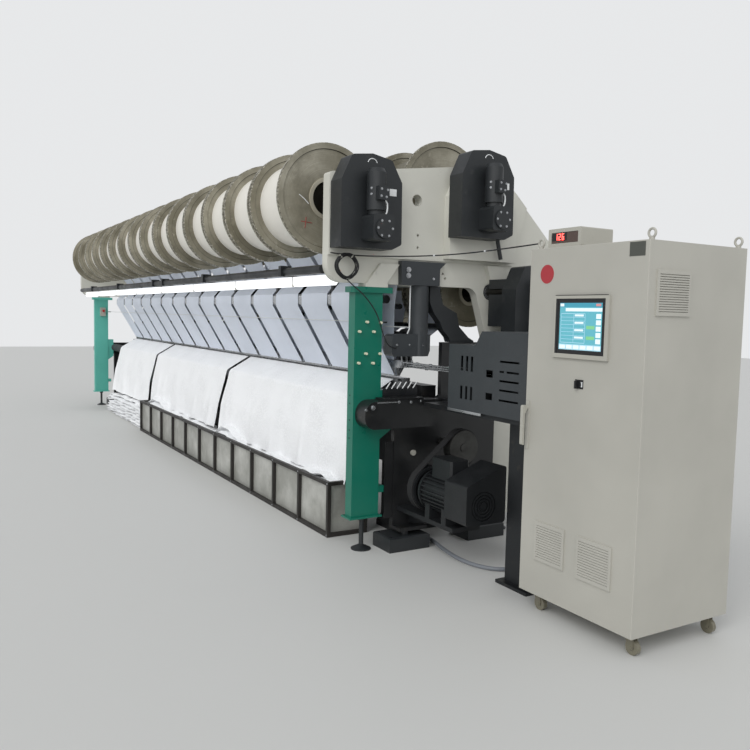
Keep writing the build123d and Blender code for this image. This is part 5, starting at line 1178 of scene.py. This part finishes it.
# Drive end: shaft collar, strip under the cover, a bright strip painted as the highlight on the housing's top
# edge, housing bolts, boss on the end wall
driveEnd = {
    "collar": ((0.335, 0.36, 0.46), (0.3598, 0.36, 0.46), 0.028, 32),
    "strip": ((0.508, 0.338, 1.019), (0.853, 0.3425, 1.0352), 0.001),
    "edge": ((0.1795, 0.0, 1.036), (0.1815, 0.157, 1.044)),
    "bolts": (((0.19, -0.037, 1.011), 0.024), ((0.18, -0.084, 0.995), 0.015), ((0.18, 0.172, 1.04), 0.015),
              ((0.18, 0.269, 1.036), 0.015), ((0.18, 0.35, 1.04), 0.012)),
    "boss": ((0.058, 0.372, 0.66), (0.074, 0.372, 0.66), 0.02, 24),
}


def dressDriveEnd():
    detail("motor_shaft_collar", "brightSteel", "motor_pulley", rods=[driveEnd["collar"]])
    # A thin bright-steel strip painted as the highlight along the housing's top edge
    detail("cover_foot_strip", "brightSteel", boxes=[driveEnd["strip"]])
    detail("housing_edge_highlight", "brightSteel", boxes=[driveEnd["edge"]])
    bolts = [(place, (1, 0, 0), across) for place, across in driveEnd["bolts"]]
    detail("housing_bolts", "brightSteel", bolts=bolts)
    detail("end_wall_boss", "greyPlastic", rods=[driveEnd["boss"]])


# Tension rail: clamps on its near end face, and a yarn clip above every second gap between strips
rail = {
    "clamps": (((0.112, 1.764), (0.137, 1.784)), ((0.11, 1.7), (0.134, 1.722))), "clampDepth": 0.012,
    "clampBevel": 0.002, "clips": (7, 1.07),
    "clipBoxes": (((-0.7625, 0.116, 1.7845), (-0.7185, 0.168, 1.812), 0.003),
                  ((-0.7685, 0.12, 1.838), (-0.7125, 0.16, 1.85), 0.002)),
    "clipRods": (((-0.7485, 0.148, 1.81), (-0.7485, 0.148, 1.872), 0.01, 12),
                 ((-0.7265, 0.128, 1.811), (-0.7085, 0.15, 1.858), 0.007, 10),
                 ((-0.7645, 0.112, 1.85), (-0.7645, 0.166, 1.874), 0.006, 10)),
}


def dressRail():
    x, depth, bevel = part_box("front_tension_rail")[1][0], rail["clampDepth"], rail["clampBevel"]
    clamps = [((x, y0, z0), (x + depth, y1, z1), bevel) for (y0, z0), (y1, z1) in rail["clamps"]]
    detail("tension_rail_clamps", "brightSteel", "tension_rail", boxes=clamps)
    detail("yarn_clips", "darkSteel", "tension_rail", boxes=rail["clipBoxes"], rods=rail["clipRods"],
           repeat=rail["clips"])


# Light bar: a joint at each step along it
lightBar = {"step": 1.2, "width": 0.01, "low": (-0.2515, 1.8165), "high": (-0.1885, 1.8895), "bevel": 0.001}


def jointLightBar():
    low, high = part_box("led_light_bar")
    step = lightBar["step"]
    x = high[0] - step / 2
    joint = ((x - lightBar["width"], *lightBar["low"]), (x, *lightBar["high"]), lightBar["bevel"])
    detail("light_bar_joints", "greyPlastic", boxes=[joint], repeat=(int((high[0] - low[0]) / step), step))


# Bin: screw heads at the foot and the head of each front post, repeated along the bin
binScrews = {"bays": 11, "post": 0.028, "frontY": -0.095, "heights": (0.014, 0.395), "size": 0.009}


def screwBin():
    low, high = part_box("bin_frame")
    post, bays = binScrews["post"], binScrews["bays"]
    bolts = [((high[0] - post / 2, binScrews["frontY"], z), (0, -1, 0), binScrews["size"])
             for z in binScrews["heights"]]
    pitch = (high[0] - low[0] - post) / bays
    detail("bin_screws", "brightSteel", bolts=bolts, repeat=(bays + 1, pitch))


dressDriveEnd()
dressRail()
jointLightBar()
screwBin()
print("drive end and bin dressed")
